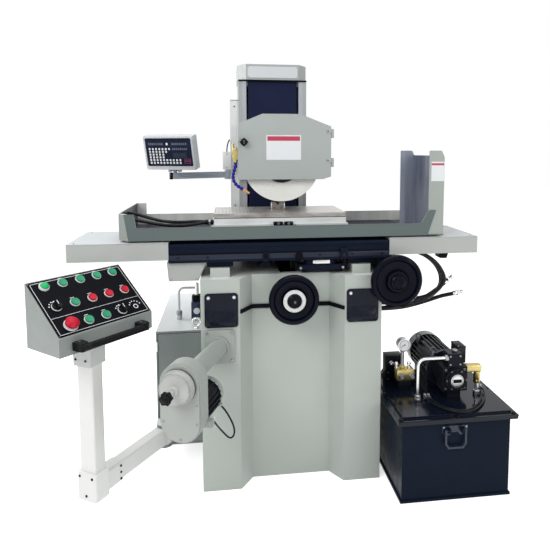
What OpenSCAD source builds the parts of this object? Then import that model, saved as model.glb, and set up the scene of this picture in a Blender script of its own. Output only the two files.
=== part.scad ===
// Column-type surface grinder with a magnetic chuck, an electric pendant,
// a digital readout and a hydraulic power unit that stands beside it.
// The origin is the middle of the base's foot, +Z is up and -Y is the operator's side.

/* [Base] */
// Width of the base casting
base_w = 760; // [720:10:800]
// Depth of the base casting
base_d = 1000; // [980:10:1080]
// Height of the deck that carries the cross ways
base_h = 905; // [890:5:930]
// Width of each front pillar
pillar_w = 160; // [140:5:175]
// Depth of the recess between the pillars
recess_d = 80; // [60:5:100]
// Width of the slanted flank beside each pillar
flank_w = 52; // [40:2:64]
// Distance of each cross way from the middle
way_x = 300; // [285:5:320]
// Width of each cross way
way_w = 80; // [60:5:100]
// Height of the cross ways above the deck
way_h = 40; // [30:2:50]

/* [Column] */
// Sideways offset of the column and the wheel head
column_x = -28; // [-40:2:10]
// Distance of the vertical ways behind the front of the base
column_y = 640; // [620:5:660]
// Width of the column
column_w = 350; // [330:5:370]
// Depth of the column behind its ways
column_d = 300; // [240:10:320]
// Height of the column above the deck
column_h = 885; // [850:5:920]
// Width of each vertical way
column_way_w = 40; // [30:2:50]
// How far the vertical ways stand out
column_way_d = 20; // [16:1:30]
// Height of the column's cap
cap_h = 78; // [60:2:100]
// Radius of the elevating screw
lift_screw_r = 16; // [12:1:20]

/* [Wheel head] */
// Sideways place of the spindle
spindle_x = -20; // [-40:2:10]
// Height of the spindle above the table ways
spindle_rise = 311; // [300:1:330]
// Distance of the guard's front edge behind the front of the base
guard_y = 230; // [210:5:250]
// Depth of the wheel guard
guard_d = 106; // [100:2:130]
// Width of the wheel guard
guard_w = 418; // [410:2:440]
// Height of the wheel guard
guard_h = 291; // [270:1:320]
// Thickness of the guard's sheet
guard_t = 6; // [3:1:8]
// Diameter of the grinding wheel
wheel_d = 350; // [300:5:355]
// Width of the grinding wheel
wheel_w = 40; // [32:1:50]
// Diameter of the bore in the grinding wheel
wheel_bore = 127; // [76:1:140]
// Radius of the spindle
spindle_r = 30; // [24:1:36]

/* [Saddle and table] */
// Sideways offset of the saddle
saddle_x = -42; // [-60:2:0]
// Distance of the saddle's front behind the front of the base
saddle_y = 42; // [30:2:60]
// Extra length of the saddle casting over the width of the base
saddle_past = 170; // [120:10:200]
// Depth of the saddle casting
saddle_d = 500; // [460:10:540]
// Height of the saddle casting
saddle_h = 78; // [70:1:90]
// Overall length over both saddle covers
cover_span = 1725; // [1600:5:1800]
// Depth of the saddle covers
cover_d = 350; // [300:10:400]
// Height of the saddle covers
cover_h = 73; // [60:1:80]
// Thickness of the covers' sheet
cover_t = 4; // [2:0.5:6]
// Sideways offset of the table
table_x = -27; // [-50:1:0]
// Length of the table
table_len = 620; // [580:5:660]
// Depth of the table
table_d = 310; // [290:5:330]
// Thickness of the table
table_h = 36; // [30:1:44]
// Length of the magnetic chuck
chuck_len = 600; // [560:5:620]
// Depth of the magnetic chuck
chuck_d = 300; // [280:5:310]
// Height of the magnetic chuck
chuck_h = 50; // [44:1:60]
// Length of the splash trough
trough_len = 1375; // [1320:5:1420]
// Depth of the splash trough
trough_d = 520; // [480:5:540]
// Height of the trough's front wall
trough_h = 52; // [44:1:70]
// Height of the trough's low end
trough_end_h = 108; // [90:1:130]
// Height of the tall splash guard
splash_h = 362; // [300:2:400]
// Thickness of the trough's sheet
trough_t = 3; // [2:0.5:5]

/* [Handwheels and elevating drive] */
// Radius of the cross-feed handwheel
handwheel_r = 104; // [85:1:110]
// Radius of the table handwheel
table_wheel_r = 110; // [90:1:114]
// Height of the cross-feed handwheel's axis below the deck
cross_drop = 87; // [82:1:100]
// Radius of the cross-feed shaft
cross_shaft_r = 17; // [14:1:20]
// Distance of the table handwheel's axis past the base's right side
table_wheel_out = 50; // [40:1:60]
// Height of the table handwheel's axis below the deck
table_wheel_drop = 19; // [0:1:30]
// Distance of the elevating drive's shaft from the base's left side
drive_in = 78; // [66:1:88]
// Height of the elevating drive's shaft below the deck
drive_drop = 278; // [265:1:315]
// Angle of the elevating drive, turned towards the left
drive_angle = 20; // [10:1:26]
// Length of the elevating drive's tube
tube_len = 326; // [280:2:360]
// Radius of the elevating drive's tube
tube_r = 36; // [30:1:42]
// Radius of the housing's round ends
housing_r = 76; // [68:1:84]
// Distance between the centres of the housing's round ends
housing_pitch = 132; // [120:1:150]
// Thickness of the housing
housing_t = 70; // [50:1:80]
// Radius of the elevating dial
dial_r = 56; // [45:1:60]

/* [Pendant] */
// Distance of the arm's pivot in front of the cabinet
arm_out = 40; // [36:1:50]
// Height of the arm
arm_z = 178; // [170:1:200]
// Angle of the arm, turned towards the left
arm_angle = 32; // [28:1:34]
// Length of the arm from its pivot to the post
arm_len = 418; // [405:1:430]
// Height of the arm and the post's long side
arm_h = 74; // [60:1:84]
// Thickness of the arm and the post's short side
arm_w = 56; // [46:1:64]
// Height of the pendant box's underside
pendant_z = 748; // [735:1:749]
// Turn of the pendant box towards the operator
pendant_turn = 49; // [40:1:56]
// Width of the pendant box
pendant_w = 390; // [370:2:410]
// Depth of the pendant box
pendant_d = 189; // [180:1:200]
// Height of the pendant box at the back
pendant_back_h = 226; // [215:1:227]
// Height of the pendant box at the front
pendant_front_h = 65; // [60:1:80]
// Radius of a push button
button_r = 15; // [12:0.5:16]

/* [Cabinet and readout] */
// Width of the electric cabinet
cabinet_w = 208; // [196:2:220]
// Distance of the cabinet's front behind the front of the base
cabinet_y = 215; // [210:1:230]
// Depth of the electric cabinet
cabinet_d = 665; // [600:5:700]
// Height of the cabinet's underside
cabinet_z = 100; // [80:5:110]
// Height of the electric cabinet
cabinet_h = 528; // [500:2:560]
// Width of the readout
readout_w = 262; // [240:2:280]
// Height of the readout
readout_h = 167; // [150:1:180]
// Depth of the readout
readout_d = 46; // [40:1:60]

/* [Hydraulic unit] */
// Gap between the base and the tank's lid
tank_gap = 18; // [10:1:40]
// Distance of the tank's lid in front of the base
tank_y = -205; // [-220:1:-190]
// Width of the tank's lid
lid_w = 505; // [480:5:520]
// Depth of the tank's lid
lid_d = 505; // [480:5:520]
// Thickness of the tank's lid
lid_t = 27; // [20:1:34]
// Overhang of the lid past the tank
lid_over = 22; // [14:1:30]
// Height of the tank's top
tank_h = 335; // [310:1:350]
// Radius of the pump motor
motor_r = 86; // [76:1:90]
// Length of the pump motor
motor_len = 276; // [230:2:290]

/* [Hidden] */
$fn = 48;
// Radial clearance of a running shaft
running_fit = 0.05;
// Clearance between sliding flat faces
slide_gap = 0.3;
// Clearance round a loose fit
loose_gap = 0.3;
// Oversize of a cut past the face that it starts from
over = 1;

// Distance behind the front of the base, as a Y coordinate
function fy(d) = d - base_d / 2;

paint = "#a9b0aa";
paint_light = "#b9bdb6";
navy = "#1b2038";
black = "#17181b";
steel = "#b8b9b8";

// Heights that follow from the base
way_top = base_h + way_h;
saddle_foot_h = 23;
saddle_z = way_top + slide_gap;
saddle_top = saddle_z + saddle_foot_h + saddle_h;
rail_h = 15.4;
table_z = saddle_top + rail_h + slide_gap;
spindle_z = table_z + spindle_rise;
cross_z = base_h - cross_drop;
table_wheel_x = base_w / 2 + table_wheel_out;
table_wheel_z = base_h - table_wheel_drop;
drive_x = drive_in - base_w / 2;
drive_z = base_h - drive_drop;
saddle_len = base_w + saddle_past;

// Places that follow from the column and the guard
column_left = column_x - column_w / 2;
column_right = column_x + column_w / 2;
column_top = base_h + column_h;
way_gap = column_w - 2 * column_way_w;
lift_screw_y = column_y + column_way_d + 60;
guard_back = guard_y + guard_d;
guard_left = spindle_x - 197;
guard_right = guard_left + guard_w;
guard_bottom = spindle_z - 73;
guard_top = guard_bottom + guard_h;
wheel_y = guard_y + 34;
carriage_t = 42;
carriage_front = column_y - carriage_t;

// Places that follow from the saddle and the table
saddle_left = saddle_x - saddle_len / 2;
saddle_right = saddle_x + saddle_len / 2;
cover_z = saddle_top - cover_h + 9;
table_y = 228;
table_front = table_y;
trough_y = saddle_y + 3;
trough_shift = 5.5;
trough_left = table_x + trough_shift - trough_len / 2;
trough_right = table_x + trough_shift + trough_len / 2;
chuck_z = table_z + table_h;

// Places that follow from the pendant's arm
lug_r = 34;
arm_x = lug_r - base_w / 2 - cabinet_w;
arm_y = cabinet_y - arm_out;
post_x = arm_x - arm_len * sin(arm_angle);
post_y = arm_y - arm_len * cos(arm_angle);
collar_h = 96;
pendant_shift = [10, -12, 0];
spigot_r = 20;
panel_slope = atan((pendant_back_h - pendant_front_h) / pendant_d);
button_pitch = 71;
button_u = 55;
button_rows = [40, 124, 216];
lower_row_shift = 9;
button_depth = 16;

// Places that follow from the tank
lid_left = base_w / 2 + tank_gap;
lid_top = tank_h + lid_t;
motor_x = lid_left + 297;
motor_y = 58;
motor_z = lid_top + motor_r + 3;
pump_front = -75;

// Block between two opposite corners
module block(low, high) {
    translate(low) cube(high - low);
}

// Prism of an X-Z outline between two Y coordinates
module prism_y(y0, y1) {
    translate([0, y1, 0]) rotate([90, 0, 0]) linear_extrude(y1 - y0) children();
}

// Round bar along Y between two Y coordinates
module rod_y(x, z, y0, y1, r) {
    translate([x, y1, z]) rotate([90, 0, 0]) cylinder(r = r, h = y1 - y0);
}

// Round bar between two points, with a slightly thicker round bead at each end
bead = 0.3;
module bar(a, b, r) {
    d = b - a;
    translate(a) rotate([0, acos(d[2] / norm(d)), atan2(d[1], d[0])]) cylinder(r = r, h = norm(d));
    translate(a) sphere(r = r + bead);
    translate(b) sphere(r = r + bead);
}

// Rectangle about the middle with round corners
module rounded(w, h, r) {
    square([w - 2 * r, h], center = true);
    square([w, h - 2 * r], center = true);
    for (x = [-1, 1], y = [-1, 1])
        translate([x * (w / 2 - r), y * (h / 2 - r)]) circle(r = r);
}

// Smooth curve through hand-placed points
function blend_point(a, b, c, d, t) =
    0.5 * (2 * b + (c - a) * t + (2 * a - 5 * b + 4 * c - d) * t * t
           + (3 * b - a - 3 * c + d) * t * t * t);
function smooth(p, steps) = concat(
    [for (i = [0:len(p) - 2], k = [0:steps - 1])
        blend_point(p[max(i - 1, 0)], p[i], p[i + 1], p[min(i + 2, len(p) - 1)], k / steps)],
    [p[len(p) - 1]]);
// The same points with a straight first and last stretch
function straight_ends(p) =
    let (n = len(p))
    concat([p[0], (p[0] + p[1]) / 2], [for (i = [1:n - 2]) p[i]], [(p[n - 2] + p[n - 1]) / 2, p[n - 1]]);
function unit(v) = v / norm(v);
function tangent(p, i) = unit(p[min(i + 1, len(p) - 1)] - p[max(i - 1, 0)]);
function sides_along(p, i, s) = i == len(p) ? [] :
    let (t = tangent(p, i), n = unit(s - t * (s * t)))
    concat([n], sides_along(p, i + 1, n));

// Rings of points round a curve, each with its own radius
function ring_points(p, radii, sides) =
    let (t0 = tangent(p, 0), n = sides_along(p, 0, unit(cross(t0, abs(t0[2]) < 0.9 ? [0, 0, 1] : [1, 0, 0]))))
    [for (i = [0:len(p) - 1], k = [0:sides - 1])
        let (a = 360 * k / sides, m = cross(tangent(p, i), n[i]))
        p[i] + radii[i] * (cos(a) * n[i] + sin(a) * m)];
function ring_walls(rings, sides, first) =
    [for (i = [0:rings - 2], k = [0:sides - 1])
        let (a = first + i * sides + k, b = first + i * sides + (k + 1) % sides)
        each [[a, a + sides, b], [b, a + sides, b + sides]]];

// Tube swept along a curve
module hose(points, r, steps = 2, sides = 8) {
    p = smooth(straight_ends(points), steps);
    last = (len(p) - 1) * sides;
    caps = [for (k = [1:sides - 2]) each [[0, k, k + 1], [last, last + k + 1, last + k]]];
    polyhedron(points = ring_points(p, [for (i = p) r], sides),
        faces = concat(ring_walls(len(p), sides, 0), caps));
}

// Ribbed tube with a bore, swept along a curve
module ribbed_hose(points, rib_r, root_r, bore_r, steps, sides = 8) {
    p = smooth(points, steps);
    rings = len(p);
    half = rings * sides;
    end = half - sides;
    radii = [for (i = [0:rings - 1]) i % 2 == 0 ? root_r : rib_r];
    inner = [for (f = ring_walls(rings, sides, half)) [f[0], f[2], f[1]]];
    caps = [for (k = [0:sides - 1]) let (j = (k + 1) % sides)
        each [[k, j, half + k], [j, half + j, half + k],
              [end + k, half + end + k, end + j], [end + j, half + end + k, half + end + j]]];
    polyhedron(points = concat(ring_points(p, radii, sides), ring_points(p, [for (i = p) bore_r], sides)),
               faces = concat(ring_walls(rings, sides, 0), inner, caps));
}

// Base casting with its cross ways and the feed-screw channel
channel_w = 90;
channel_z = cross_z - 52;
channel_y0 = recess_d + 30;
channel_y1 = column_y - 40;
boss_r = 45;
boss_front = -12;
screw_tail_r = 10;
base_wall = 25;
base_rib = 40;
module base_outline() {
    inner = base_w / 2 - pillar_w;
    polygon([[-base_w / 2, fy(0)], [-inner, fy(0)], [flank_w - inner, fy(recess_d)],
             [inner - flank_w, fy(recess_d)], [inner, fy(0)], [base_w / 2, fy(0)],
             [base_w / 2, fy(base_d)], [-base_w / 2, fy(base_d)]]);
}
module base_casting() {
    color(paint) difference() {
        union() {
            linear_extrude(base_h) base_outline();
            for (s = [-1, 1])
                block([s * way_x - way_w / 2, fy(recess_d / 2), base_h],
                      [s * way_x + way_w / 2, fy(column_y - 30), way_top]);
            rod_y(0, cross_z, fy(boss_front), fy(recess_d + over), boss_r);
        }
        block([-channel_w / 2, fy(channel_y0), channel_z],
              [channel_w / 2, fy(channel_y1), base_h + over]);
        for (x = [-base_w / 2 + base_wall, base_rib / 2])
            block([x, fy(channel_y0), -over],
                  [x + (base_w - 2 * base_wall - base_rib) / 2, fy(base_d - base_wall), channel_z - 40]);
        rod_y(0, cross_z, fy(boss_front) - over, fy(channel_y0) + over, cross_shaft_r + running_fit);
        rod_y(0, cross_z, fy(channel_y1) - over, fy(channel_y1) + 24, screw_tail_r + running_fit);
    }
}

// Rubber strip along the recess and a rubber flap on each pillar
strip_z = cross_z - 58;
strip_h = 16;
strip_t = 7;
flap_w = 136;
flap_h = 142;
flap_t = 6;
flap_z = cross_z - 112;
flap_corner = 14;
module rubber_covers() {
    inner = base_w / 2 - pillar_w;
    color(black) {
        difference() {
            translate([0, 0, strip_z]) linear_extrude(strip_h)
                polygon([[-inner, fy(0)], [flank_w - inner, fy(recess_d)], [inner - flank_w, fy(recess_d)],
                         [inner, fy(0)], [inner - strip_t, fy(0)],
                         [inner - flank_w - strip_t / 2, fy(recess_d - strip_t)],
                         [flank_w - inner + strip_t / 2, fy(recess_d - strip_t)], [strip_t - inner, fy(0)]]);
            rod_y(0, cross_z, fy(0), fy(recess_d + over), boss_r + loose_gap);
        }
        for (s = [-1, 1])
            translate([s * (base_w / 2 - pillar_w / 2 - 4), 0, flap_z + flap_h / 2])
                prism_y(fy(-flap_t), fy(0)) rounded(flap_w, flap_h, flap_corner);
    }
}

// Column with two vertical ways and a cavity for the elevating screw
cavity_d = column_d - 30;
cavity_floor = 20;
cavity_roof = 30;
lift_journal_r = lift_screw_r - 4;
module column() {
    color(paint) difference() {
        union() {
            block([column_left, fy(column_y + column_way_d), base_h],
                  [column_right, fy(column_y + column_way_d + column_d), column_top]);
            for (x = [column_left, column_right - column_way_w])
                block([x, fy(column_y), base_h],
                      [x + column_way_w, fy(column_y + column_way_d + over), column_top]);
        }
        block([column_x - way_gap / 2, fy(column_y + column_way_d - over), base_h + cavity_floor],
              [column_x + way_gap / 2, fy(column_y + column_way_d + cavity_d), column_top - cavity_roof]);
        translate([column_x, fy(lift_screw_y), base_h - over])
            cylinder(r = lift_journal_r + running_fit, h = column_h + 2 * over);
    }
    color(paint) {
        translate([readout_pivot[0], fy(readout_pivot[1]), 0]) {
            for (z = [readout_arm_z - bracket_t - slide_gap, readout_arm_z + readout_arm_h + slide_gap]) {
                block([0, -20, z], [column_left - readout_pivot[0] + over, 20, z + bracket_t]);
                translate([0, 0, z]) cylinder(r = 20, h = bracket_t);
            }
            translate([0, 0, readout_arm_z - bracket_t])
                cylinder(r = readout_pin_r, h = readout_arm_h + 2 * bracket_t);
        }
    }
}

// Cap with slanted front corners
cap_lap = 4;
cap_corner = 44;
cap_corner_d = 60;
module column_cap() {
    l = column_left - cap_lap;
    r = column_right + cap_lap;
    front = fy(column_y - 2 * cap_lap);
    back = fy(column_y + column_way_d + column_d + cap_lap);
    color(paint) translate([0, 0, column_top]) linear_extrude(cap_h)
        polygon([[l, front + cap_corner_d], [l + cap_corner, front], [r - cap_corner, front],
                 [r, front + cap_corner_d], [r, back], [l, back]]);
}

// Dark sheet between the vertical ways, with a slot at each side for the nut's webs
web_slot = 9;
sheet_t = 3;
module way_cover() {
    color(navy)
        block([column_x - way_gap / 2 + web_slot, fy(column_y + 8), base_h],
              [column_x + way_gap / 2 - web_slot, fy(column_y + 8 + sheet_t), column_top]);
}

// Cover of the vertical scale on the column's left side
scale_w = 44;
module scale_cover() {
    color("#dcdddb")
        block([column_left - scale_w, fy(column_y + 10), base_h + 225],
              [column_left, fy(column_y + 50), column_top - 101]);
}

// Elevating screw between its two journals
module elevating_screw() {
    floor_z = base_h + cavity_floor;
    roof_z = column_top - cavity_roof;
    color(steel) translate([column_x, fy(lift_screw_y), 0]) {
        translate([0, 0, floor_z + slide_gap])
            cylinder(r = lift_screw_r, h = roof_z - floor_z - 2 * slide_gap);
        translate([0, 0, base_h + 2]) cylinder(r = lift_journal_r, h = column_h - 4);
    }
}

// Head carriage with the spindle housing and the elevating nut
carriage_over = 5;
carriage_z0 = spindle_z - 83;
carriage_z1 = spindle_z + 187;
housing_half = 150;
web_t = 5;
web_clear = 2;
nut_half = 38;
spindle_bore_d = 210;
spindle_tail = 10;
module wheelhead() {
    spindle_hole = guard_back + spindle_bore_d;
    color(paint) difference() {
        union() {
            block([column_left - carriage_over, fy(carriage_front), carriage_z0],
                  [column_right + carriage_over, fy(column_y - slide_gap), carriage_z1]);
            block([spindle_x - housing_half, fy(guard_back), spindle_z - 60],
                  [spindle_x + housing_half, fy(carriage_front + over), spindle_z + 150]);
            rod_y(spindle_x, spindle_z, fy(guard_back), fy(carriage_front + over), 78);
            for (s = [-1, 1])
                translate([column_x + s * (way_gap / 2 - web_clear - web_t / 2), 0, spindle_z])
                    block([-web_t / 2, fy(column_y - 2), -60], [web_t / 2, fy(lift_screw_y - 14), 60]);
            block([column_x - way_gap / 2 + web_clear, fy(column_y + column_way_d + 8), spindle_z - nut_half],
                  [column_x + way_gap / 2 - web_clear, fy(lift_screw_y - 10), spindle_z + nut_half]);
            block([column_x - nut_half, fy(lift_screw_y - nut_half), spindle_z - nut_half],
                  [column_x + nut_half, fy(lift_screw_y + nut_half), spindle_z + nut_half]);
        }
        rod_y(spindle_x, spindle_z, fy(guard_back) - over, fy(spindle_hole), spindle_r + running_fit);
        translate([column_x, fy(lift_screw_y), spindle_z - nut_half - over])
            cylinder(r = lift_screw_r + loose_gap, h = 2 * (nut_half + over));
    }
}

// Wheel guard, open underneath, with the pins of the door's hinge
guard_shoulder_l = 45;
guard_shoulder_r = 54;
guard_slope_l = 109;
guard_slope_r = 140;
guard_heel = 36;
hinge_r = 6;
hinge_pin_r = 3;
hinge_x = guard_right + hinge_r + over;
hinge_y = guard_y - 2;
knuckle_h = 20;
hinge_zs = [guard_bottom + 55, guard_bottom + 185];
module guard_outline(inset, drop) {
    l = guard_left + inset;
    r = guard_right - inset;
    t = guard_top - inset;
    low = guard_top - inset / 2;
    polygon([[l, guard_bottom - drop], [l, low - guard_shoulder_l], [guard_left + guard_slope_l, t],
             [guard_right - guard_slope_r, t], [r, low - guard_shoulder_r], [r, guard_bottom + 12 - drop],
             [guard_right - guard_heel, guard_bottom - drop]]);
}
module wheel_guard() {
    color(paint) difference() {
        union() {
            prism_y(fy(guard_y), fy(guard_back)) guard_outline(0, 0);
            for (z = hinge_zs) {
                block([guard_right - over, fy(guard_y), z], [hinge_x, fy(hinge_y + hinge_r), z + knuckle_h]);
                translate([hinge_x, fy(hinge_y), z]) cylinder(r = hinge_r, h = knuckle_h);
                translate([hinge_x, fy(hinge_y), z]) cylinder(r = hinge_pin_r, h = 2 * knuckle_h);
            }
        }
        prism_y(fy(guard_y) - over, fy(guard_back - guard_t)) guard_outline(guard_t, guard_h);
        rod_y(spindle_x, spindle_z, fy(guard_y), fy(guard_back + over), spindle_r + 8);
    }
}

// Hinged front of the guard
door_t = 5;
door_gap = 0.5;
knob_x = guard_left + 26;
knob_z = guard_bottom + 166;
knob_shaft_r = 6;
module guard_door() {
    color(paint) difference() {
        union() {
            prism_y(fy(guard_y - door_gap - door_t), fy(guard_y - door_gap)) guard_outline(0, 0);
            for (z = hinge_zs) translate([0, 0, z + knuckle_h + slide_gap]) {
                block([guard_right - 2 * over, fy(guard_y - door_gap - door_t), 0],
                      [hinge_x, fy(guard_y - door_gap), knuckle_h]);
                translate([hinge_x, fy(hinge_y), 0]) cylinder(r = hinge_r, h = knuckle_h);
            }
        }
        for (z = hinge_zs) translate([hinge_x, fy(hinge_y), z + knuckle_h])
            cylinder(r = hinge_pin_r + running_fit, h = knuckle_h + 2 * over);
        rod_y(knob_x, knob_z, fy(guard_y - 20), fy(guard_y), knob_shaft_r + running_fit);
    }
}

// Turning knob with its latch behind the door
module door_knob() {
    front = guard_y - door_gap - door_t;
    color(black) {
        rod_y(knob_x, knob_z, fy(front - 26), fy(front - slide_gap), 15);
        translate([knob_x, 0, knob_z]) rotate([0, 45, 0])
            block([-14, fy(front - 24), -14], [14, fy(front - 10), 14]);
        rod_y(knob_x, knob_z, fy(front - over), fy(guard_y + 8), knob_shaft_r);
        block([knob_x - 8, fy(guard_y + 3), knob_z - 8], [knob_x + 8, fy(guard_y + 8), knob_z + 32]);
    }
}

// Spindle with its two wheel flanges and the clamping nut
flange_r = 89;
flange_t = 10;
module spindle() {
    hub_r = wheel_bore / 2 - 0.1;
    color("#5b5e63") {
        rod_y(spindle_x, spindle_z, fy(wheel_y - 18), fy(guard_back + spindle_bore_d - spindle_tail),
            spindle_r);
        rod_y(spindle_x, spindle_z, fy(wheel_y - flange_t), fy(wheel_y), flange_r);
        rod_y(spindle_x, spindle_z, fy(wheel_y - over), fy(wheel_y + wheel_w + over), hub_r);
        rod_y(spindle_x, spindle_z, fy(wheel_y + wheel_w), fy(wheel_y + wheel_w + flange_t), flange_r);
    }
}
module grinding_wheel() {
    color("#e9e6dd") difference() {
        rod_y(spindle_x, spindle_z, fy(wheel_y), fy(wheel_y + wheel_w), wheel_d / 2);
        rod_y(spindle_x, spindle_z, fy(wheel_y) - over, fy(wheel_y + wheel_w + over), wheel_bore / 2);
    }
}

// Coolant valve on the guard's left side, its lever and the jointed hose
valve_x = guard_left - 10;
valve_y = guard_y + 60;
valve_z = guard_bottom + 88;
valve_h = 44;
stem_r = 4;
module coolant_valve() {
    color("#c8a444") {
        block([valve_x - 14, fy(valve_y - 13), valve_z], [guard_left, fy(valve_y + 13), valve_z + valve_h]);
        translate([valve_x, fy(valve_y), valve_z + valve_h]) cylinder(r = stem_r, h = 12);
        translate([valve_x, fy(valve_y), valve_z - 8]) cylinder(r = 9, h = 8 + over);
        bar([valve_x - 10, fy(valve_y + 16), valve_z + 34], [valve_x - 10, fy(valve_y + 16), valve_z + 70], 5);
        rod_y(valve_x - 10, valve_z + 34, fy(valve_y + 10), fy(valve_y + 16), 5);
    }
}
module coolant_lever() {
    color("#8f7a3c") translate([valve_x, fy(valve_y), valve_z + valve_h + slide_gap]) difference() {
        union() {
            cylinder(r = 8, h = 8);
            block([-5, -40, 0], [5, 0, 6]);
        }
        translate([0, 0, -over]) cylinder(r = stem_r + running_fit, h = 8 + 2 * over);
    }
}
hose_route = [[0, 0, 0], [0, 0, -18], [-6, 0, -40], [-12, 0, -64], [-9, 0, -88], [4, 0, -108], [20, 0, -120],
    [36, 0, -130]];
hose_rib_r = 8;
hose_root_r = 6;
hose_bore_r = 3.5;
nozzle_len = 34;
module coolant_hose() {
    tip = hose_route[len(hose_route) - 1];
    color("#2a35b8") translate([valve_x, fy(valve_y), valve_z - 8]) {
        ribbed_hose(hose_route, hose_rib_r, hose_root_r, hose_bore_r, 5);
        translate(tip) rotate([0, 122, 0]) translate([0, 0, -4]) difference() {
            cylinder(r1 = hose_root_r + 1, r2 = hose_bore_r + 1, h = nozzle_len);
            translate([0, 0, -over]) cylinder(r = hose_bore_r - 0.5, h = nozzle_len + 2 * over);
        }
    }
}

// Reading head of the vertical scale, carried by the head
module reader_head() {
    right = column_left - carriage_over;
    color("#e2e0dd") {
        block([right - 78, fy(column_y - 40), spindle_z - 40], [right - 36, fy(column_y - 4), spindle_z + 50]);
        block([right - 37, fy(column_y - 24), spindle_z - 12], [right, fy(column_y - 12), spindle_z + 22]);
    }
}

// Saddle casting with the table ways, the feed nut and the apron for the table handwheel
groove_w = 64;
groove_d = 34;
foot_w = way_w + 30;
nut_y = 400;
nut_len = 60;
apron_gap = 6;
apron_w = 84;
module saddle() {
    slab_z = saddle_z + saddle_foot_h;
    groove_y = table_y + table_d / 2;
    apron_x = base_w / 2 + apron_gap;
    color(navy) difference() {
        union() {
            block([saddle_left, fy(saddle_y), slab_z],
                  [saddle_right, fy(saddle_y + saddle_d), saddle_top]);
            for (d = [60, saddle_d - 130])
                block([saddle_left + 20, fy(saddle_y + d), saddle_top - over],
                      [saddle_right - 20, fy(saddle_y + d + 70), saddle_top + rail_h]);
            for (s = [-1, 1])
                block([s * way_x - foot_w / 2, fy(saddle_y + 20), saddle_z],
                      [s * way_x + foot_w / 2, fy(saddle_y + saddle_d - 20), slab_z + over]);
            block([-channel_w / 2 + 10, fy(nut_y), cross_z - 32],
                [channel_w / 2 - 10, fy(nut_y + nut_len), slab_z + over]);
            block([30, fy(saddle_y + 4), base_h + 17], [228, fy(saddle_y + 70), base_h + 40]);
            for (x = [80, 170])
                translate([x, fy(saddle_y + 38), base_h + 39]) cylinder(r = 26, h = slab_z - base_h - 38);
            block([apron_x, fy(60), table_wheel_z - 62], [apron_x + apron_w, fy(260), slab_z + over]);
        }
        block([saddle_left - over, fy(groove_y - groove_w / 2), saddle_top - groove_d],
              [saddle_right + over, fy(groove_y + groove_w / 2), saddle_top + rail_h + over]);
        rod_y(0, cross_z, fy(nut_y) - over, fy(nut_y + nut_len) + over, cross_shaft_r - 4 + loose_gap);
        rod_y(table_wheel_x, table_wheel_z, fy(60) - over, fy(200), cross_shaft_r + running_fit);
    }
}

// Sheet covers at both ends of the saddle and the switch box under its left end
switch_d = 234;
switch_in = 16;
switch_drop = 92;
switch_gap = 8;
module saddle_covers() {
    ends = [saddle_x - cover_span / 2, saddle_x + cover_span / 2];
    spans = [[ends[0], saddle_left], [saddle_right, ends[1]]];
    color(paint_light) {
        for (s = spans) difference() {
            block([s[0], fy(saddle_y - 4), cover_z], [s[1], fy(saddle_y - 4 + cover_d), cover_z + cover_h]);
            block([s[0] + cover_t, fy(saddle_y - 4 + cover_t), cover_z - over],
                  [s[1] - cover_t, fy(saddle_y - 4 + cover_d - cover_t), cover_z + cover_h - cover_t]);
        }
        prism_y(fy(saddle_y + switch_in), fy(saddle_y + switch_in + switch_d))
            polygon([[saddle_left - 9, saddle_z + saddle_foot_h], [saddle_left - 3, cover_z - switch_drop],
                     [-base_w / 2 - switch_gap, cover_z - switch_drop],
                     [-base_w / 2 + 3 * switch_gap, saddle_z + saddle_foot_h]]);
    }
}

// Table with the guide rib that runs in the saddle's groove
rib_clear = 2;
travel_left = 300;
travel_right = 350;
module table() {
    groove_y = table_y + table_d / 2;
    rib_left = saddle_left + travel_left + 10;
    rib_right = saddle_right - travel_right - 10;
    color("#d5d6d0") difference() {
        union() {
            block([table_x - table_len / 2, fy(table_y), table_z],
                  [table_x + table_len / 2, fy(table_y + table_d), table_z + table_h]);
            block([rib_left, fy(groove_y - groove_w / 2 + rib_clear), saddle_top - groove_d + rib_clear],
                  [rib_right, fy(groove_y + groove_w / 2 - rib_clear), table_z + over]);
        }
        block([table_x - table_len / 2 - over, fy(table_y) - over, table_z + 14],
              [table_x + table_len / 2 + over, fy(table_y + 8), table_z + 24]);
    }
}

// Magnetic chuck: a body, a narrower seam and a top plate
module magnetic_chuck() {
    l = table_x - chuck_len / 2;
    y = table_y + (table_d - chuck_d) / 2;
    plate_h = 20;
    color(steel) {
        block([l, fy(y), chuck_z], [l + chuck_len, fy(y + chuck_d), chuck_z + chuck_h - plate_h - 2]);
        block([l + 3, fy(y + 3), chuck_z + over],
            [l + chuck_len - 3, fy(y + chuck_d - 3), chuck_z + chuck_h - over]);
        block([l, fy(y), chuck_z + chuck_h - plate_h], [l + chuck_len, fy(y + chuck_d), chuck_z + chuck_h]);
    }
}

// Two trip dogs clamped along the front of the table
module trip_dogs() {
    color(black) for (x = [table_x - 30, table_x + 22])
        block([x, fy(table_y - 18), table_z + 8], [x + 46, fy(table_y), table_z + 32]);
}

// Splash trough round the table: floor, front wall, back wall and the low end
trough_corner = 44;
trough_corner_d = 48;
ear_w = 40;
ear_lean = 16;
module trough_plan() {
    l = trough_left;
    r = trough_right;
    polygon([[l, fy(trough_y + trough_corner_d)], [l + trough_corner, fy(trough_y)],
             [r, fy(trough_y)], [r, fy(trough_y + trough_d)], [l, fy(trough_y + trough_d)]]);
}
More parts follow.
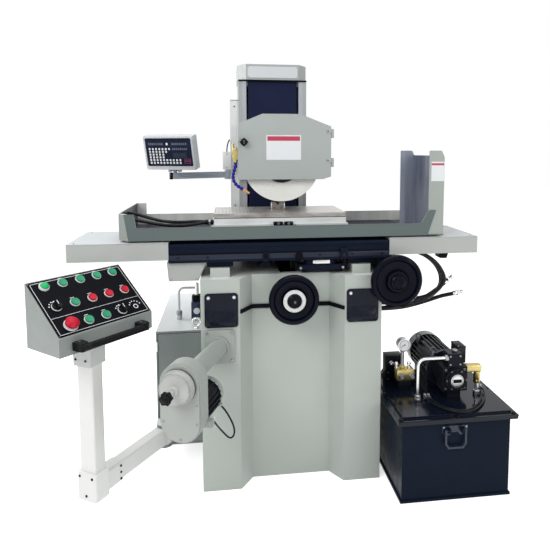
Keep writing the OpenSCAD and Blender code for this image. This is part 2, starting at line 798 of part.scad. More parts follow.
// Wall along the low end: the slanted corner, the end and a return at the back
module end_wall_plan() {
    t = trough_t;
    l = trough_left;
    lip = 46;
    polygon([[l + trough_corner, fy(trough_y)], [l, fy(trough_y + trough_corner_d)],
             [l, fy(trough_y + trough_d)], [l + lip, fy(trough_y + trough_d)],
             [l + lip, fy(trough_y + trough_d - t)], [l + t, fy(trough_y + trough_d - t)],
             [l + t, fy(trough_y + trough_corner_d + t)], [l + trough_corner + t, fy(trough_y + t)]]);
}
// Front panel, end wall and back panel of the tall splash guard
splash_w = 68;
splash_back_w = 73;
splash_d = 389;
splash_y = trough_y + trough_t + loose_gap;
splash_cut = [13, 27];
module splash_plan() {
    r = trough_right;
    t = trough_t;
    back = trough_y + splash_d;
    polygon([[r - splash_w, fy(splash_y)], [r, fy(splash_y)], [r, fy(back)], [r - splash_back_w, fy(back)],
             [r - splash_back_w, fy(back - t)], [r - t, fy(back - t)], [r - t, fy(splash_y + t)],
             [r - splash_w, fy(splash_y + t)]]);
}
module trough() {
    l = trough_left + trough_corner;
    r = trough_right;
    rim = table_z + trough_h;
    color(paint) {
        difference() {
            translate([0, 0, table_z]) linear_extrude(trough_t) trough_plan();
            block([table_x - table_len / 2 - loose_gap, fy(table_y - loose_gap), table_z - over],
                  [table_x + table_len / 2 + loose_gap, fy(table_y + table_d + loose_gap), table_z + table_h]);
        }
        prism_y(fy(trough_y), fy(trough_y + trough_t))
            polygon([[l, table_z], [l - ear_lean, table_z + trough_end_h],
                     [l + ear_w - ear_lean, table_z + trough_end_h], [l + ear_w - 8, rim],
                     [r - splash_w - 32, rim], [r - splash_w + 1, table_z + trough_end_h],
                     [r - splash_w + 32, table_z + trough_end_h], [r - splash_w - 4, table_z]]);
        block([trough_left, fy(trough_y + trough_d - trough_t), table_z], [r, fy(trough_y + trough_d), rim]);
        block([r - trough_t, fy(trough_y + splash_d + loose_gap), table_z], [r, fy(trough_y + trough_d), rim]);
        translate([0, 0, table_z]) linear_extrude(trough_end_h) end_wall_plan();
    }
}

// Tall end of the trough, standing on its floor
module splash_guard() {
    color(paint_light) difference() {
        translate([0, 0, table_z + trough_t]) linear_extrude(splash_h) splash_plan();
        translate([trough_right, 0, table_z + trough_t + splash_h])
            prism_y(fy(trough_y), fy(trough_y + splash_d + over))
            polygon([[-splash_cut[0], 0], [over, -splash_cut[1] - 2 * over], [over, over],
                [-splash_cut[0], over]]);
    }
}

// Two cables from the trough's low end to the chuck's connectors
cable_r = 7;
cable_y = table_y + 2;
connector_r = 10;
connector_len = 24;
chuck_left = table_x - chuck_len / 2;
cable_end = chuck_left - connector_len - 2 * loose_gap - trough_left - trough_t;
cable_routes = [[[loose_gap, 70, 88], [24, 67, 87], [66, 50, 77], [132, 32, 59], [186, 27, 51], [251, 28, 49],
                 [cable_end - 48, 32, 51], [cable_end - 20, 34, 48], [cable_end, 34, 48]],
                [[loose_gap, 0, 70], [24, -2, 69], [66, -13, 62], [139, -29, 50], [192, -32, 42],
                 [250, -26, 40], [cable_end - 56, -10, 44], [cable_end - 22, 7, 48], [cable_end, 8, 48]]];
module chuck_cable() {
    color(black) translate([trough_left + trough_t, fy(cable_y), table_z]) for (route = cable_routes) {
        hose(route, cable_r);
        translate(route[len(route) - 1] + [loose_gap, 0, 0]) rotate([0, 90, 0])
            cylinder(r = connector_r, h = connector_len);
    }
}

// Handwheel about the Z axis: a dished disc with a thick rim and a stepped hub
module handwheel(rim_r, hub_r, cap_r) {
    rotate_extrude($fn = 72)
        polygon([[0, 0], [hub_r * 0.7, 0], [hub_r * 0.9, 12], [rim_r - 26, 14], [rim_r - 18, 4], [rim_r - 6, 4],
                 [rim_r, 10], [rim_r, 24], [rim_r - 6, 32], [rim_r - 18, 34], [rim_r - 26, 24],
                 [hub_r + 4, 22], [hub_r, 36], [cap_r + 2, 38], [cap_r, 46], [cap_r - 5, 50], [0, 50]]);
}
module cross_handwheel() {
    screw_r = cross_shaft_r - 4;
    color(black) {
        translate([0, fy(boss_front - 2), cross_z]) rotate([90, 0, 0]) handwheel(handwheel_r, 47, 28);
        rod_y(0, cross_z, fy(boss_front - 3), fy(channel_y0), cross_shaft_r);
        rod_y(0, cross_z, fy(channel_y0 - over), fy(channel_y1 - 2), screw_r);
        rod_y(0, cross_z, fy(channel_y1 - 3), fy(channel_y1 + 22), screw_tail_r);
    }
}
module table_handwheel() {
    back = -26;
    color(black) {
        translate([table_wheel_x, fy(back), table_wheel_z]) rotate([90, 0, 0]) handwheel(table_wheel_r, 44, 30);
        rod_y(table_wheel_x, table_wheel_z, fy(back - over), fy(196), cross_shaft_r);
    }
}

// Frame of the elevating drive: its local Z runs along the tube, away from the pillar
module drive_frame() {
    translate([drive_x, fy(0), drive_z]) rotate([90, 0, -drive_angle]) children();
}
plate_t = 10;
drive_shaft_r = 12;
module elevating_tube() {
    color(paint) difference() {
        union() {
            translate([drive_x - 3, 0, drive_z]) prism_y(fy(-plate_t), fy(0)) rounded(122, 140, 8);
            intersection() {
                drive_frame() cylinder(r = tube_r, h = tube_len);
                block([drive_x - 2 * tube_len, fy(-2 * tube_len), drive_z - 2 * tube_r],
                      [drive_x + tube_len, fy(0), drive_z + 2 * tube_r]);
            }
        }
        drive_frame() translate([0, 0, 20]) cylinder(r = tube_r - 10, h = tube_len);
    }
}
module racetrack(r) {
    circle(r = r, $fn = 64);
    translate([0, -housing_pitch]) circle(r = r, $fn = 64);
    translate([-r, -housing_pitch]) square([2 * r, housing_pitch]);
}
plug_x = housing_r + 4;
plug_y = -housing_pitch - 26;
module belt_housing() {
    lip = 6;
    color(paint) drive_frame() translate([0, 0, tube_len]) difference() {
        union() {
            linear_extrude(housing_t - lip) racetrack(housing_r);
            translate([0, 0, housing_t - lip - over]) linear_extrude(lip + over) racetrack(housing_r - 4);
            translate([plug_x - 12, plug_y - 12, -plug_len]) cube([24, 24, 2 * plug_len]);
        }
        translate([0, 0, -over]) cylinder(r = drive_shaft_r + running_fit, h = housing_t + 2 * over);
    }
}
dial_stub = 46;
module elevating_dial() {
    face = tube_len + housing_t + slide_gap;
    color(paint_light) drive_frame() {
        translate([0, 0, 40]) cylinder(r = drive_shaft_r, h = face - 40 + over);
        translate([0, 0, face]) cylinder(r = dial_r + 6, h = 14);
        translate([0, 0, face + 14 - over]) cylinder(r = dial_r, h = 28 + over);
        translate([0, 0, face + 42 - over]) cylinder(r = 7, h = dial_stub + over);
    }
}
module star_knob() {
    color(black) drive_frame() translate([0, 0, tube_len + housing_t + slide_gap + 42 + dial_stub]) {
        cylinder(r = 17, h = 24);
        for (a = [0:60:300]) rotate([0, 0, a]) translate([16, 0, 3]) cylinder(r = 6, h = 18);
    }
}

// Finned motor behind the housing's lower end
lift_motor_len = 190;
lift_motor_r = 66;
lift_fins = 20;
gland_len = 18;
gland_angle = -40;
module elevating_motor() {
    cap = 30;
    color("#2b2d31") drive_frame() translate([0, -housing_pitch, tube_len - lift_motor_len]) {
        translate([0, 0, cap - over]) cylinder(r = lift_motor_r - 10, h = lift_motor_len - cap + over);
        cylinder(r = lift_motor_r - 4, h = cap);
        for (i = [0:lift_fins - 1]) rotate([0, 0, 360 * i / lift_fins])
            translate([lift_motor_r - 12, -2, cap - over]) cube([12, 4, lift_motor_len - cap - 11]);
        translate([0, 0, lift_motor_len - 12]) cylinder(r = lift_motor_r, h = 12);
        rotate([0, 0, gland_angle]) translate([lift_motor_r - 8, 0, 14]) rotate([0, 90, 0])
            cylinder(r = 8, h = gland_len);
    }
}

// Lead from the motor's end cap to the plug on the housing, in the drive's frame
lead_r = 3.5;
lead_out = lift_motor_r - 8 + gland_len + slide_gap;
plug_len = 14;
lead_way = [cos(gland_angle), sin(gland_angle), 0];
lead_end = [plug_x, plug_y + housing_pitch, lift_motor_len - plug_len - slide_gap];
lead_route = concat([lead_out * lead_way + [0, 0, 14], (lead_out + 15) * lead_way + [0, 0, 14]],
    [for (p = [[8, -58, -160.7], [24, -86, -158.7], [36, -112, -151.7], [34, -129, -135.7], [26, -124, -117.7],
               [11, -78, -79.7], [5, -36, -41.7], [0, 0, -13.7], [0, 0, 0]]) lead_end + p]);
module motor_cable() {
    color(black) drive_frame() translate([0, -housing_pitch, tube_len - lift_motor_len])
        hose(lead_route, lead_r);
}

// Electric cabinet on the base's left side, with the bracket and pin of the pendant's arm
pivot_r = 15;
box_t = 4;
lug_h = 14;
module electric_cabinet() {
    right = -base_w / 2;
    lug_low = arm_z - arm_h / 2 - lug_h - slide_gap;
    lug_high = arm_z + arm_h / 2 + slide_gap;
    color(paint_light) {
        difference() {
            block([right - cabinet_w, fy(cabinet_y), cabinet_z],
                [right, fy(cabinet_y + cabinet_d), cabinet_z + cabinet_h]);
            block([right - cabinet_w + box_t, fy(cabinet_y + box_t), cabinet_z + box_t],
                  [right + over, fy(cabinet_y + cabinet_d - box_t), cabinet_z + cabinet_h - box_t]);
        }
        for (z = [lug_low, lug_high]) translate([arm_x, fy(arm_y), z]) {
            cylinder(r = lug_r, h = lug_h);
            block([-lug_r, 0, 0], [lug_r, cabinet_y - arm_y + over, lug_h]);
        }
        translate([arm_x, fy(arm_y), lug_low]) cylinder(r = pivot_r, h = lug_high + lug_h - lug_low);
    }
}

// Lubricator with its lines on the cabinet, and a lifting eye on the cabinet's front edge
module oil_fittings() {
    right = -base_w / 2;
    top = cabinet_z + cabinet_h;
    y = cabinet_y + 150;
    color("#9fb4c9") {
        block([right - 62, fy(y), top], [right - 10, fy(y + 60), top + 92]);
        translate([right - 36, fy(y + 30), top + 91]) cylinder(r = 22, h = 24);
        translate([right - 36, fy(y + 30), top + 114]) cylinder(r = 10, h = 60);
        bar([right - 36, fy(y + 30), top + 150], [right - 120, fy(y + 30), top + 150], 6);
        bar([right - 120, fy(y + 30), top + 150], [right - 120, fy(y + 30), top + 7], 6);
        translate([right - 120, fy(y + 30), top]) cylinder(r = 14, h = 40);
        translate([right - 30, fy(cabinet_y + 26), top]) cylinder(r = 8, h = 12);
        translate([right - 30, fy(cabinet_y + 26), top + 29]) rotate([90, 0, 0])
            rotate_extrude() translate([18, 0]) circle(r = 5.5);
    }
}

// Frame of the pendant's arm: its local -Y runs from the pivot to the post
module arm_frame() {
    translate([arm_x, fy(arm_y), arm_z]) rotate([0, 0, -arm_angle]) children();
}
elbow_wall = 9;
elbow_rise = 66;
sleeve_wall = 4;
sleeve_len = 122;
module pendant_arm() {
    post_top = pendant_z - collar_h - slide_gap - arm_z;
    color("#eceeed") arm_frame() difference() {
        union() {
            translate([0, 0, -arm_h / 2]) cylinder(r = lug_r - 2, h = arm_h);
            prism_y(-arm_len, 0) rounded(arm_w, arm_h, 8);
            prism_y(-arm_len, -arm_len + sleeve_len)
                rounded(arm_w + 2 * sleeve_wall, arm_h + 2 * sleeve_wall, 10);
            translate([0, -arm_len, -arm_h / 2 - sleeve_wall])
                linear_extrude(arm_h / 2 + sleeve_wall + elbow_rise)
                rounded(arm_h + 2 * elbow_wall, arm_w + 2 * elbow_wall, 10);
            translate([0, -arm_len, 0]) linear_extrude(post_top) rounded(arm_h, arm_w, 8);
            translate([0, -arm_len, post_top - over]) cylinder(r = spigot_r, h = collar_h - 4);
        }
        translate([0, 0, -arm_h]) cylinder(r = pivot_r + running_fit, h = 2 * arm_h);
    }
}

// Frame of the pendant box about the post, and of its sloping panel from the lower left corner
module pendant_frame() {
    translate([post_x, fy(post_y), pendant_z]) rotate([0, 0, pendant_turn]) translate(pendant_shift) children();
}
module panel_frame() {
    pendant_frame() translate([-pendant_w / 2, -pendant_d / 2, pendant_front_h]) rotate([panel_slope, 0, 0])
        children();
}
// Place of a control on the panel, by its column and row
function control_at(column, row) =
    [button_u + column * button_pitch + (row == 0 ? lower_row_shift : 0), button_rows[row], 0];
control_places = [control_at(0, 0), control_at(1, 0), control_at(2, 0), control_at(3, 0),
                  control_at(0, 1), control_at(1, 1), control_at(2, 1), control_at(3, 1), control_at(4, 1),
                  control_at(1, 2), control_at(2, 2), control_at(3, 2), control_at(4, 2)];
stop_at = control_places[0];
speed_at = control_places[3];
mode_at = control_places[4];
button_places = [control_places[1], control_places[2], control_places[5], control_places[6], control_places[7],
                 control_places[8], control_places[9], control_places[10], control_places[11],
                 control_places[12]];
lamp_at = control_at(0, 2);
module pendant_box() {
    color(paint_light) difference() {
        union() {
            pendant_frame() {
                translate([-pendant_w / 2, 0, 0]) rotate([90, 0, 90]) linear_extrude(pendant_w)
                    polygon([[-pendant_d / 2, 0], [pendant_d / 2, 0], [pendant_d / 2, pendant_back_h],
                             [-pendant_d / 2, pendant_front_h]]);
            }
            translate([post_x, fy(post_y), pendant_z - collar_h]) rotate([0, 0, -arm_angle])
                linear_extrude(collar_h + over) rounded(arm_h + 10, arm_h + 10, 9);
            panel_frame() translate(lamp_at) cylinder(r = button_r, h = 10);
        }
        translate([post_x, fy(post_y), pendant_z - collar_h - over])
            cylinder(r = spigot_r + running_fit, h = collar_h);
        pendant_frame() {
            translate([box_t - pendant_w / 2, 0, 0]) rotate([90, 0, 90]) linear_extrude(pendant_w - 2 * box_t)
                polygon([[box_t - pendant_d / 2, box_t], [pendant_d / 2 - box_t, box_t],
                         [pendant_d / 2 - box_t, pendant_back_h - 2.2 * box_t],
                         [box_t - pendant_d / 2, pendant_front_h - box_t / 2]]);
            translate([120, 0, -over]) cylinder(r = 22, h = box_t + 2 * over);
        }
        panel_frame() for (p = control_places)
            translate([p[0], p[1], -button_depth]) cylinder(r = button_r + loose_gap, h = button_depth + over);
    }
}

// Pull handle on the front of the pendant box
module pendant_handle() {
    reach = 46;
    bar_r = 10;
    low = pendant_front_h / 2 - 4;
    color(black) pendant_frame() translate([0, -pendant_d / 2, low]) {
        for (x = [-130, 130]) block([x - 18, -reach, -14], [x + 18, 0, 14]);
        translate([-130, -reach, 0]) rotate([0, 90, 0]) cylinder(r = bar_r + 3, h = 260);
    }
}

// Push button that runs in the panel's hole
push_travel = 4;
module push_button(index) {
    tint = index == 4 || index == 5 || index == 6 ? "#c8313f" : "#3aa06e";
    color(tint) panel_frame() translate(button_places[index - 1]) {
        translate([0, 0, push_travel + 2 - button_depth])
            cylinder(r = button_r, h = button_depth + 7 - push_travel);
    }
}
module stop_button() {
    color("#d92738") panel_frame() translate(stop_at) {
        translate([0, 0, push_travel + 4 - button_depth]) cylinder(r = button_r, h = button_depth + 8);
        translate([0, 0, 11]) cylinder(r1 = 23, r2 = 24, h = 8);
        translate([0, 0, 19 - over / 2]) cylinder(r1 = 24, r2 = 17, h = 5);
    }
}
module selector(place) {
    color("#2a2b2e") panel_frame() translate(place) {
        translate([0, 0, 2 - button_depth]) cylinder(r = button_r, h = button_depth + 6);
        translate([0, 0, 7]) cylinder(r = button_r + 2, h = 5);
        block([-5, -15, 11], [5, 15, 22]);
    }
}
module mode_selector() {
    selector(mode_at);
}
module speed_selector() {
    selector(speed_at);
}

// Swinging arm of the readout, on a bracket on the column's left side
readout_clear = 12;
readout_back = 84;
readout_drop = 86;
readout_reach = [264, 132];
readout_pivot = [column_left - scale_w - readout_clear, column_y + readout_back];
readout_arm_z = spindle_z - readout_drop;
readout_arm_h = 32;
readout_place = [readout_pivot[0] - readout_reach[0], readout_pivot[1] - readout_reach[1]];
readout_turn = -22;
readout_pin_r = 8;
bracket_t = 8;
readout_lean = 14;
tilt_rise = 22;
tilt_r = 7;
tilt_half = 34;
module readout_arm() {
    color("#8a93a0") {
        difference() {
            translate([readout_pivot[0], fy(readout_pivot[1]), readout_arm_z])
                cylinder(r = 22, h = readout_arm_h);
            translate([readout_pivot[0], fy(readout_pivot[1]), readout_arm_z - over])
                cylinder(r = readout_pin_r + running_fit, h = readout_arm_h + 2 * over);
        }
        difference() {
            d = [readout_place[0] - readout_pivot[0], readout_place[1] - readout_pivot[1]];
            translate([readout_pivot[0], fy(readout_pivot[1]), readout_arm_z]) rotate([0, 0, atan2(d[1], d[0])])
                block([12, -10, 0], [norm(d) + 24, 10, readout_arm_h]);
            translate([readout_pivot[0], fy(readout_pivot[1]), readout_arm_z - over])
                cylinder(r = readout_pin_r + running_fit, h = readout_arm_h + 2 * over);
        }
        translate([readout_place[0], fy(readout_place[1]), readout_arm_z + readout_arm_h - over]) {
            cylinder(r = 9, h = tilt_rise - tilt_r + over);
            rotate([0, 0, readout_turn]) translate([-tilt_half, 0, tilt_rise - tilt_r])
                rotate([0, 90, 0]) cylinder(r = tilt_r, h = 2 * tilt_half);
        }
    }
}
module readout() {
    color("#c3c8cf") translate([readout_place[0], fy(readout_place[1]),
        readout_arm_z + readout_arm_h + tilt_rise - tilt_r - over])
        rotate([0, 0, readout_turn]) rotate([readout_lean, 0, 0]) difference() {
            union() {
                block([-readout_w / 2, -readout_d + 14, tilt_r + 4],
                    [readout_w / 2, 14, tilt_r + 4 + readout_h]);
                for (x = [-26, 26]) block([x - 7, -tilt_r - 2, -tilt_r - 2], [x + 7, tilt_r + 2, tilt_r + 5]);
            }
            translate([-readout_w / 2, 0, 0]) rotate([0, 90, 0])
                cylinder(r = tilt_r + running_fit, h = readout_w);
        }
}

// Oil tank on a flanged foot, with the ears of its drop handle
foot_t = 10;
bail_w = 84;
bail_drop = 72;
bail_corner = [12, 18];
bail_r = 5;
bail_pin_r = 4;
bail_z = tank_h - 36;
bail_y = tank_y + lid_over - 14;
bail_x = lid_left + lid_w / 2 - 10;
ear_t = 10;
module tank() {
    l = lid_left + lid_over;
    r = lid_left + lid_w - lid_over;
    front = tank_y + lid_over;
    back = tank_y + lid_d - lid_over;
    color("#1d2230") difference() {
        union() {
            block([l, fy(front), 0], [r, fy(back), tank_h]);
            block([l - 6, fy(front - 6), 0], [r + 6, fy(back + 6), foot_t]);
            for (s = [-1, 1])
                block([bail_x + s * (bail_w / 2 - 14) - ear_t / 2, fy(bail_y - 9), bail_z - 9],
                      [bail_x + s * (bail_w / 2 - 14) + ear_t / 2, fy(front + over), bail_z + 9]);
        }
        block([l + box_t, fy(front + box_t), foot_t], [r - box_t, fy(back - box_t), tank_h + over]);
        translate([bail_x - bail_w, fy(bail_y), bail_z]) rotate([0, 90, 0])
            cylinder(r = bail_pin_r + running_fit, h = 2 * bail_w);
    }
}

// Drop handle with a pin into each ear
module tank_bail() {
    half = bail_w / 2;
    pin_in = half - 14 - ear_t / 2 + 1;
    color("#3c4048") translate([bail_x, fy(bail_y), bail_z]) {
        for (s = [-1, 1]) {
            bar([s * half, 0, 0], [s * half, 0, bail_corner[1] - bail_drop], bail_r);
            bar([s * half, 0, bail_corner[1] - bail_drop], [s * (half - bail_corner[0]), 0, -bail_drop],
                bail_r);
            translate([s > 0 ? pin_in : -half, 0, 0]) rotate([0, 90, 0])
                cylinder(r = bail_pin_r, h = half - pin_in);
        }
        bar([bail_corner[0] - half, 0, -bail_drop], [half - bail_corner[0], 0, -bail_drop], bail_r);
    }
}
lid_step = 22;
module tank_lid() {
    raised = 8;
    color("#1d2230") {
        block([lid_left, fy(tank_y), tank_h], [lid_left + lid_w, fy(tank_y + lid_d), lid_top - raised]);
        block([lid_left + lid_step, fy(tank_y + lid_step), lid_top - raised - over],
              [lid_left + lid_w - lid_step, fy(tank_y + lid_d - lid_step), lid_top]);
    }
}

// Finned pump motor on its feet, with a terminal box
motor_fins = 26;
module pump_motor() {
    y1 = motor_y + motor_len;
    color("#22252d") {
        rod_y(motor_x, motor_z, fy(motor_y), fy(motor_y + 16), motor_r);
        rod_y(motor_x, motor_z, fy(motor_y + 15), fy(y1 - 50), motor_r - 14);
        rod_y(motor_x, motor_z, fy(y1 - 51), fy(y1), motor_r);
        for (i = [0:motor_fins - 1]) translate([motor_x, 0, motor_z]) rotate([0, 360 * i / motor_fins, 0])
            block([motor_r - 16, fy(motor_y + 15), -2], [motor_r - 3, fy(y1 - 50), 2]);
        for (s = [-1, 1])
            block([motor_x + s * 52 - 18, fy(motor_y + 30), lid_top],
                [motor_x + s * 52 + 18, fy(y1 - 70), motor_z - motor_r * 0.55]);
        block([motor_x + motor_r * 0.7, fy(motor_y + 4), motor_z + 22],
            [motor_x + motor_r + 11, fy(motor_y + 82), motor_z + motor_r + 8]);
    }
}

// Vane pump with its bell housing, in line with the motor
module pump() {
    color("#191b20") {
        rod_y(motor_x, motor_z, fy(18), fy(motor_y), 62);
        block([motor_x - pump_half, fy(-50), motor_z - pump_half],
            [motor_x + pump_half, fy(19), motor_z + pump_half - 3]);
        rod_y(motor_x, motor_z, fy(pump_front + 8), fy(-49), 48);
        rod_y(motor_x, motor_z, fy(pump_front), fy(pump_front + 9), 38);
        block([motor_x - 30, fy(-40), lid_top], [motor_x + 30, fy(10), motor_z - 54]);
        block([motor_x - port_half, fy(-50), motor_z + pump_half - 4],
            [motor_x + port_half, fy(10), motor_z + pump_half + port_h]);
    }
}

// Pressure gauge, valve block, steel pipes, brass elbow and the sockets of the return hoses
gauge_r = 28;
gauge_x = -10;
gauge_z = 206;
manifold_x = lid_left + 117;
manifold_y = 90;
manifold_half = [40, 22];
manifold_h = 91;
foot_h = 40;
pipe_x = 132.5;
pipe_y = -46;
pump_half = 55;
port_half = 31;
port_h = 55;
elbow_out = 115;
return_hose_r = 4;
return_routes = [[[172, -50, 10], [172, -66, 10], [184, -98, 7], [204, -134, 6], [236, -168, 6], [282, -186, 6],
                  [336, -168, 6], [392, -116, 7], [434, -52, 10], [448, -14, 14], [448, 2, 14]],
                 [[188, -50, 10], [188, -66, 10], [198, -96, 7], [216, -128, 6], [244, -156, 6], [282, -171, 6],
                  [330, -156, 6], [382, -108, 7], [421, -48, 10], [434, -14, 14], [434, 2, 14]]];
hose_tail = 24;
module hydraulic_fittings() {
    color("#c2ab62") {
        block([manifold_x - manifold_half[0] + 12, fy(manifold_y - manifold_half[1] + 4), lid_top],
              [manifold_x + manifold_half[0] - 12, fy(manifold_y + manifold_half[1] - 4), lid_top + foot_h]);
        block([manifold_x - manifold_half[0], fy(manifold_y - manifold_half[1]), lid_top + foot_h - over],
              [manifold_x + manifold_half[0], fy(manifold_y + manifold_half[1]), lid_top + manifold_h]);
        translate([manifold_x + gauge_x, fy(manifold_y), lid_top + manifold_h - over])
            cylinder(r = 8, h = gauge_z - manifold_h - gauge_r / 2);
        rod_y(manifold_x + gauge_x, lid_top + gauge_z, fy(manifold_y - 26), fy(manifold_y + 10), gauge_r);
        for (s = [-1, 1])
            rod_y(manifold_x + s * 24, lid_top + (foot_h + manifold_h) / 2,
                  fy(manifold_y - manifold_half[1] - 24), fy(manifold_y - manifold_half[1] + over), 11);
        block([lid_left + 57, fy(170), lid_top], [lid_left + 137, fy(230), lid_top + 118]);
        translate([lid_left + pipe_x, fy(pipe_y), motor_z + pump_half + port_h / 2 + 10]) {
            rotate([0, 90, 0]) cylinder(r = 7, h = motor_x - port_half - lid_left - pipe_x);
            sphere(r = 9);
        }
        translate([lid_left + pipe_x, fy(pipe_y), lid_top + over])
            cylinder(r = 7, h = motor_z + pump_half + port_h / 2 + 10 - lid_top - over);
        translate([lid_left + pipe_x, fy(pipe_y), lid_top]) cylinder(r = 15, h = 24);
        block([motor_x + pump_half, fy(-32), motor_z + 15], [motor_x + elbow_out + 16, fy(2), motor_z + 47]);
        translate([motor_x + elbow_out, fy(-15), motor_z - 37]) cylinder(r = 14.5, h = 60);
        translate([motor_x + elbow_out, fy(-15), lid_top + over]) cylinder(r = 8, h = motor_z - lid_top);
        translate([motor_x + elbow_out, fy(-15), lid_top]) cylinder(r = 15, h = 18);
        translate([lid_left, fy(0), lid_top]) for (route = return_routes) {
            for (p = [route[0], route[len(route) - 1]]) {
                translate([p[0], p[1] + hose_tail, 0]) cylinder(r = return_hose_r + 3, h = p[2] + 10);
                rod_y(p[0], p[2], p[1] + slide_gap, p[1] + hose_tail, return_hose_r + 2);
            }
        }
    }
}

// Hose bundle from the base's right side to the inner wall of the right saddle cover,
// two hose ends with fittings, and the return hoses on the tank's lid
bundle_r = 9;
bundle_end = saddle_right + cover_t + slide_gap - base_w / 2;
bundle = [[slide_gap, 190, -175], [24, 190, -175], [80, 180, -175], [150, 158, -169], [220, 138, -157],
          [276, 128, -129], [310, 125, -83], [308, 125, -31], [278, 125, 19], [230, 125, 57], [170, 125, 83],
          [bundle_end + 60, 125, 99], [bundle_end + 26, 125, 103], [bundle_end, 125, 103]];
bundle_steps = [0, 26, 52];
spread_top = -45;
loose_ends = [[[slide_gap, 230, -210], [24, 230, -210], [90, 222, -209], [170, 200, -195], [240, 176, -163],
               [308, 158, -112], [352, 150, -72]],
              [[slide_gap, 262, -225], [24, 262, -225], [90, 256, -225], [180, 236, -213], [270, 212, -184],
               [340, 198, -158], [412, 188, -142]]];
fitting_len = 34;
module hydraulic_hoses() {
    color(black) {
        translate([base_w / 2, fy(0), base_h]) {
            for (d = bundle_steps)
                hose([for (p = bundle) [p[0], p[1] - 0.8 * d, p[2] + (p[2] < spread_top ? d / 2 : 0)]],
                    bundle_r);
            for (route = loose_ends) {
                last = route[len(route) - 1];
                way = unit(last - route[len(route) - 2]);
                hose(route, bundle_r);
                translate(last + slide_gap * way) rotate([0, acos(way[2]), atan2(way[1], way[0])]) {
                    cylinder(r = bundle_r + 4, h = fitting_len / 2, $fn = 6);
                    cylinder(r = bundle_r, h = fitting_len);
                }
            }
        }
        translate([lid_left, fy(0), lid_top]) for (route = return_routes) hose(route, return_hose_r);
    }
}

base_casting();
rubber_covers();
column();
column_cap();
way_cover();
electric_cabinet();
oil_fittings();
scale_cover();
elevating_tube();
belt_housing();
elevating_motor();
motor_cable();
tank();
tank_lid();
pump_motor();
pump();
hydraulic_fittings();
hydraulic_hoses();
tank_bail();
elevating_screw();
elevating_dial();
star_knob();
pendant_arm();
pendant_box();
pendant_handle();
stop_button();
mode_selector();
speed_selector();
saddle();
saddle_covers();
table();
trough();
splash_guard();
magnetic_chuck();
trip_dogs();
chuck_cable();
wheelhead();
wheel_guard();
guard_door();
door_knob();
coolant_valve();
coolant_lever();
coolant_hose();
reader_head();
spindle();
grinding_wheel();
cross_handwheel();
table_handwheel();
readout_arm();
readout();
for (i = [1:10])
    push_button(i);
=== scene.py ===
import math

import bmesh
import bpy
from mathutils import Matrix, Vector, geometry


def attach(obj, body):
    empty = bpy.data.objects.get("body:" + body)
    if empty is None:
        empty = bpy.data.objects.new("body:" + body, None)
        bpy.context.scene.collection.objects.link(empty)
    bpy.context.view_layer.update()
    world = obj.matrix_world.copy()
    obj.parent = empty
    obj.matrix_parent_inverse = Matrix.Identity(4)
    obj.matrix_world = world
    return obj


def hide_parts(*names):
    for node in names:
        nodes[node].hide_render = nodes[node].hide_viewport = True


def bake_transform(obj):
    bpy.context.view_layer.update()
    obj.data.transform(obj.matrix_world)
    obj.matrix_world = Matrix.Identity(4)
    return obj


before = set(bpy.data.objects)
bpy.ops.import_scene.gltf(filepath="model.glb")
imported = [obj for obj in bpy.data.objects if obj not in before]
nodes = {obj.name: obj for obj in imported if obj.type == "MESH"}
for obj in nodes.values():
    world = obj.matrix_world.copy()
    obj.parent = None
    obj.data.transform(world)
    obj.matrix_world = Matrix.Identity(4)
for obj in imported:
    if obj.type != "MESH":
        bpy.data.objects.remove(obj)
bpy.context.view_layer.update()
scene = bpy.context.scene

# Camera, fitted to the photo's vanishing lines

camera_data = bpy.data.cameras.new("photo_camera")
camera_data.sensor_width = 36.0
camera_data.lens = 36.0
camera_data.shift_x = -0.049
camera_data.shift_y = -0.1345
camera_data.clip_end = 60.0
camera = bpy.data.objects.new("photo_camera", camera_data)
camera.location = (-0.268, -2.727, 1.427)
camera.rotation_euler = (math.radians(84.8), 0.0, math.radians(-7.8))
scene.collection.objects.link(camera)
scene.camera = camera

# Places that several pieces share, in millimetres in the part's frame


def shift(x, y, z):
    return Matrix.Translation((x, y, z))


def turn(angle, axis):
    return Matrix.Rotation(math.radians(angle), 4, axis)


def front(x, y, z):
    """Local X to the right, local Y up and local Z towards the operator."""
    return shift(x, y, z) @ turn(90, "X")


def rear(x, y, z):
    """Local Y up and local Z away from the operator."""
    return shift(x, y, z) @ turn(180, "Z") @ turn(90, "X")


def right_side(x, y, z):
    """Local X to the back, local Y up and local Z to the right."""
    return shift(x, y, z) @ turn(90, "Z") @ turn(90, "X")


MM = 0.001
BASE_RIGHT, BASE_FRONT, BASE_BACK, DECK = 380, -500, 500, 905
COLUMN_X = -28
GUARD_FRONT = -275.5
SPINDLE_X, SPINDLE_Z = -20, 1373
VALVE_X, VALVE_Y = -227, -210
TROUGH_FRONT = -453.5
SADDLE_FRONT, SADDLE_LEFT, SADDLE_RIGHT = -457.4, -505, 421
CROSS_WHEEL = front(0, -514, 818)
TABLE_WHEEL = front(430, -526, 886)
DRIVE_FOOT, DRIVE_TURN = (-302, -500, 627), -20
DRIVE = shift(*DRIVE_FOOT) @ turn(DRIVE_TURN, "Z") @ turn(90, "X")
LIFT_MOTOR = DRIVE @ shift(0, -132, 136)
CABINET_LEFT, CABINET_FRONT, CABINET_TOP = -588, -285, 628
POST = (-775.506, -679.484)
PENDANT = shift(*POST, 748) @ turn(49, "Z") @ shift(10, -12, 0)
PANEL_WIDTH, PANEL_SLOPE = 390, 248.3
PANEL = PENDANT @ shift(-PANEL_WIDTH / 2, -94.5, 65) @ turn(40.426, "X")
READOUT = shift(-523, 92, 1333) @ turn(-22, "Z") @ turn(14, "X")
READOUT_PIVOT = shift(-259, 224, 1287)
LID_TOP = 362
PUMP_X, PUMP_Z = 695, 451

# Materials


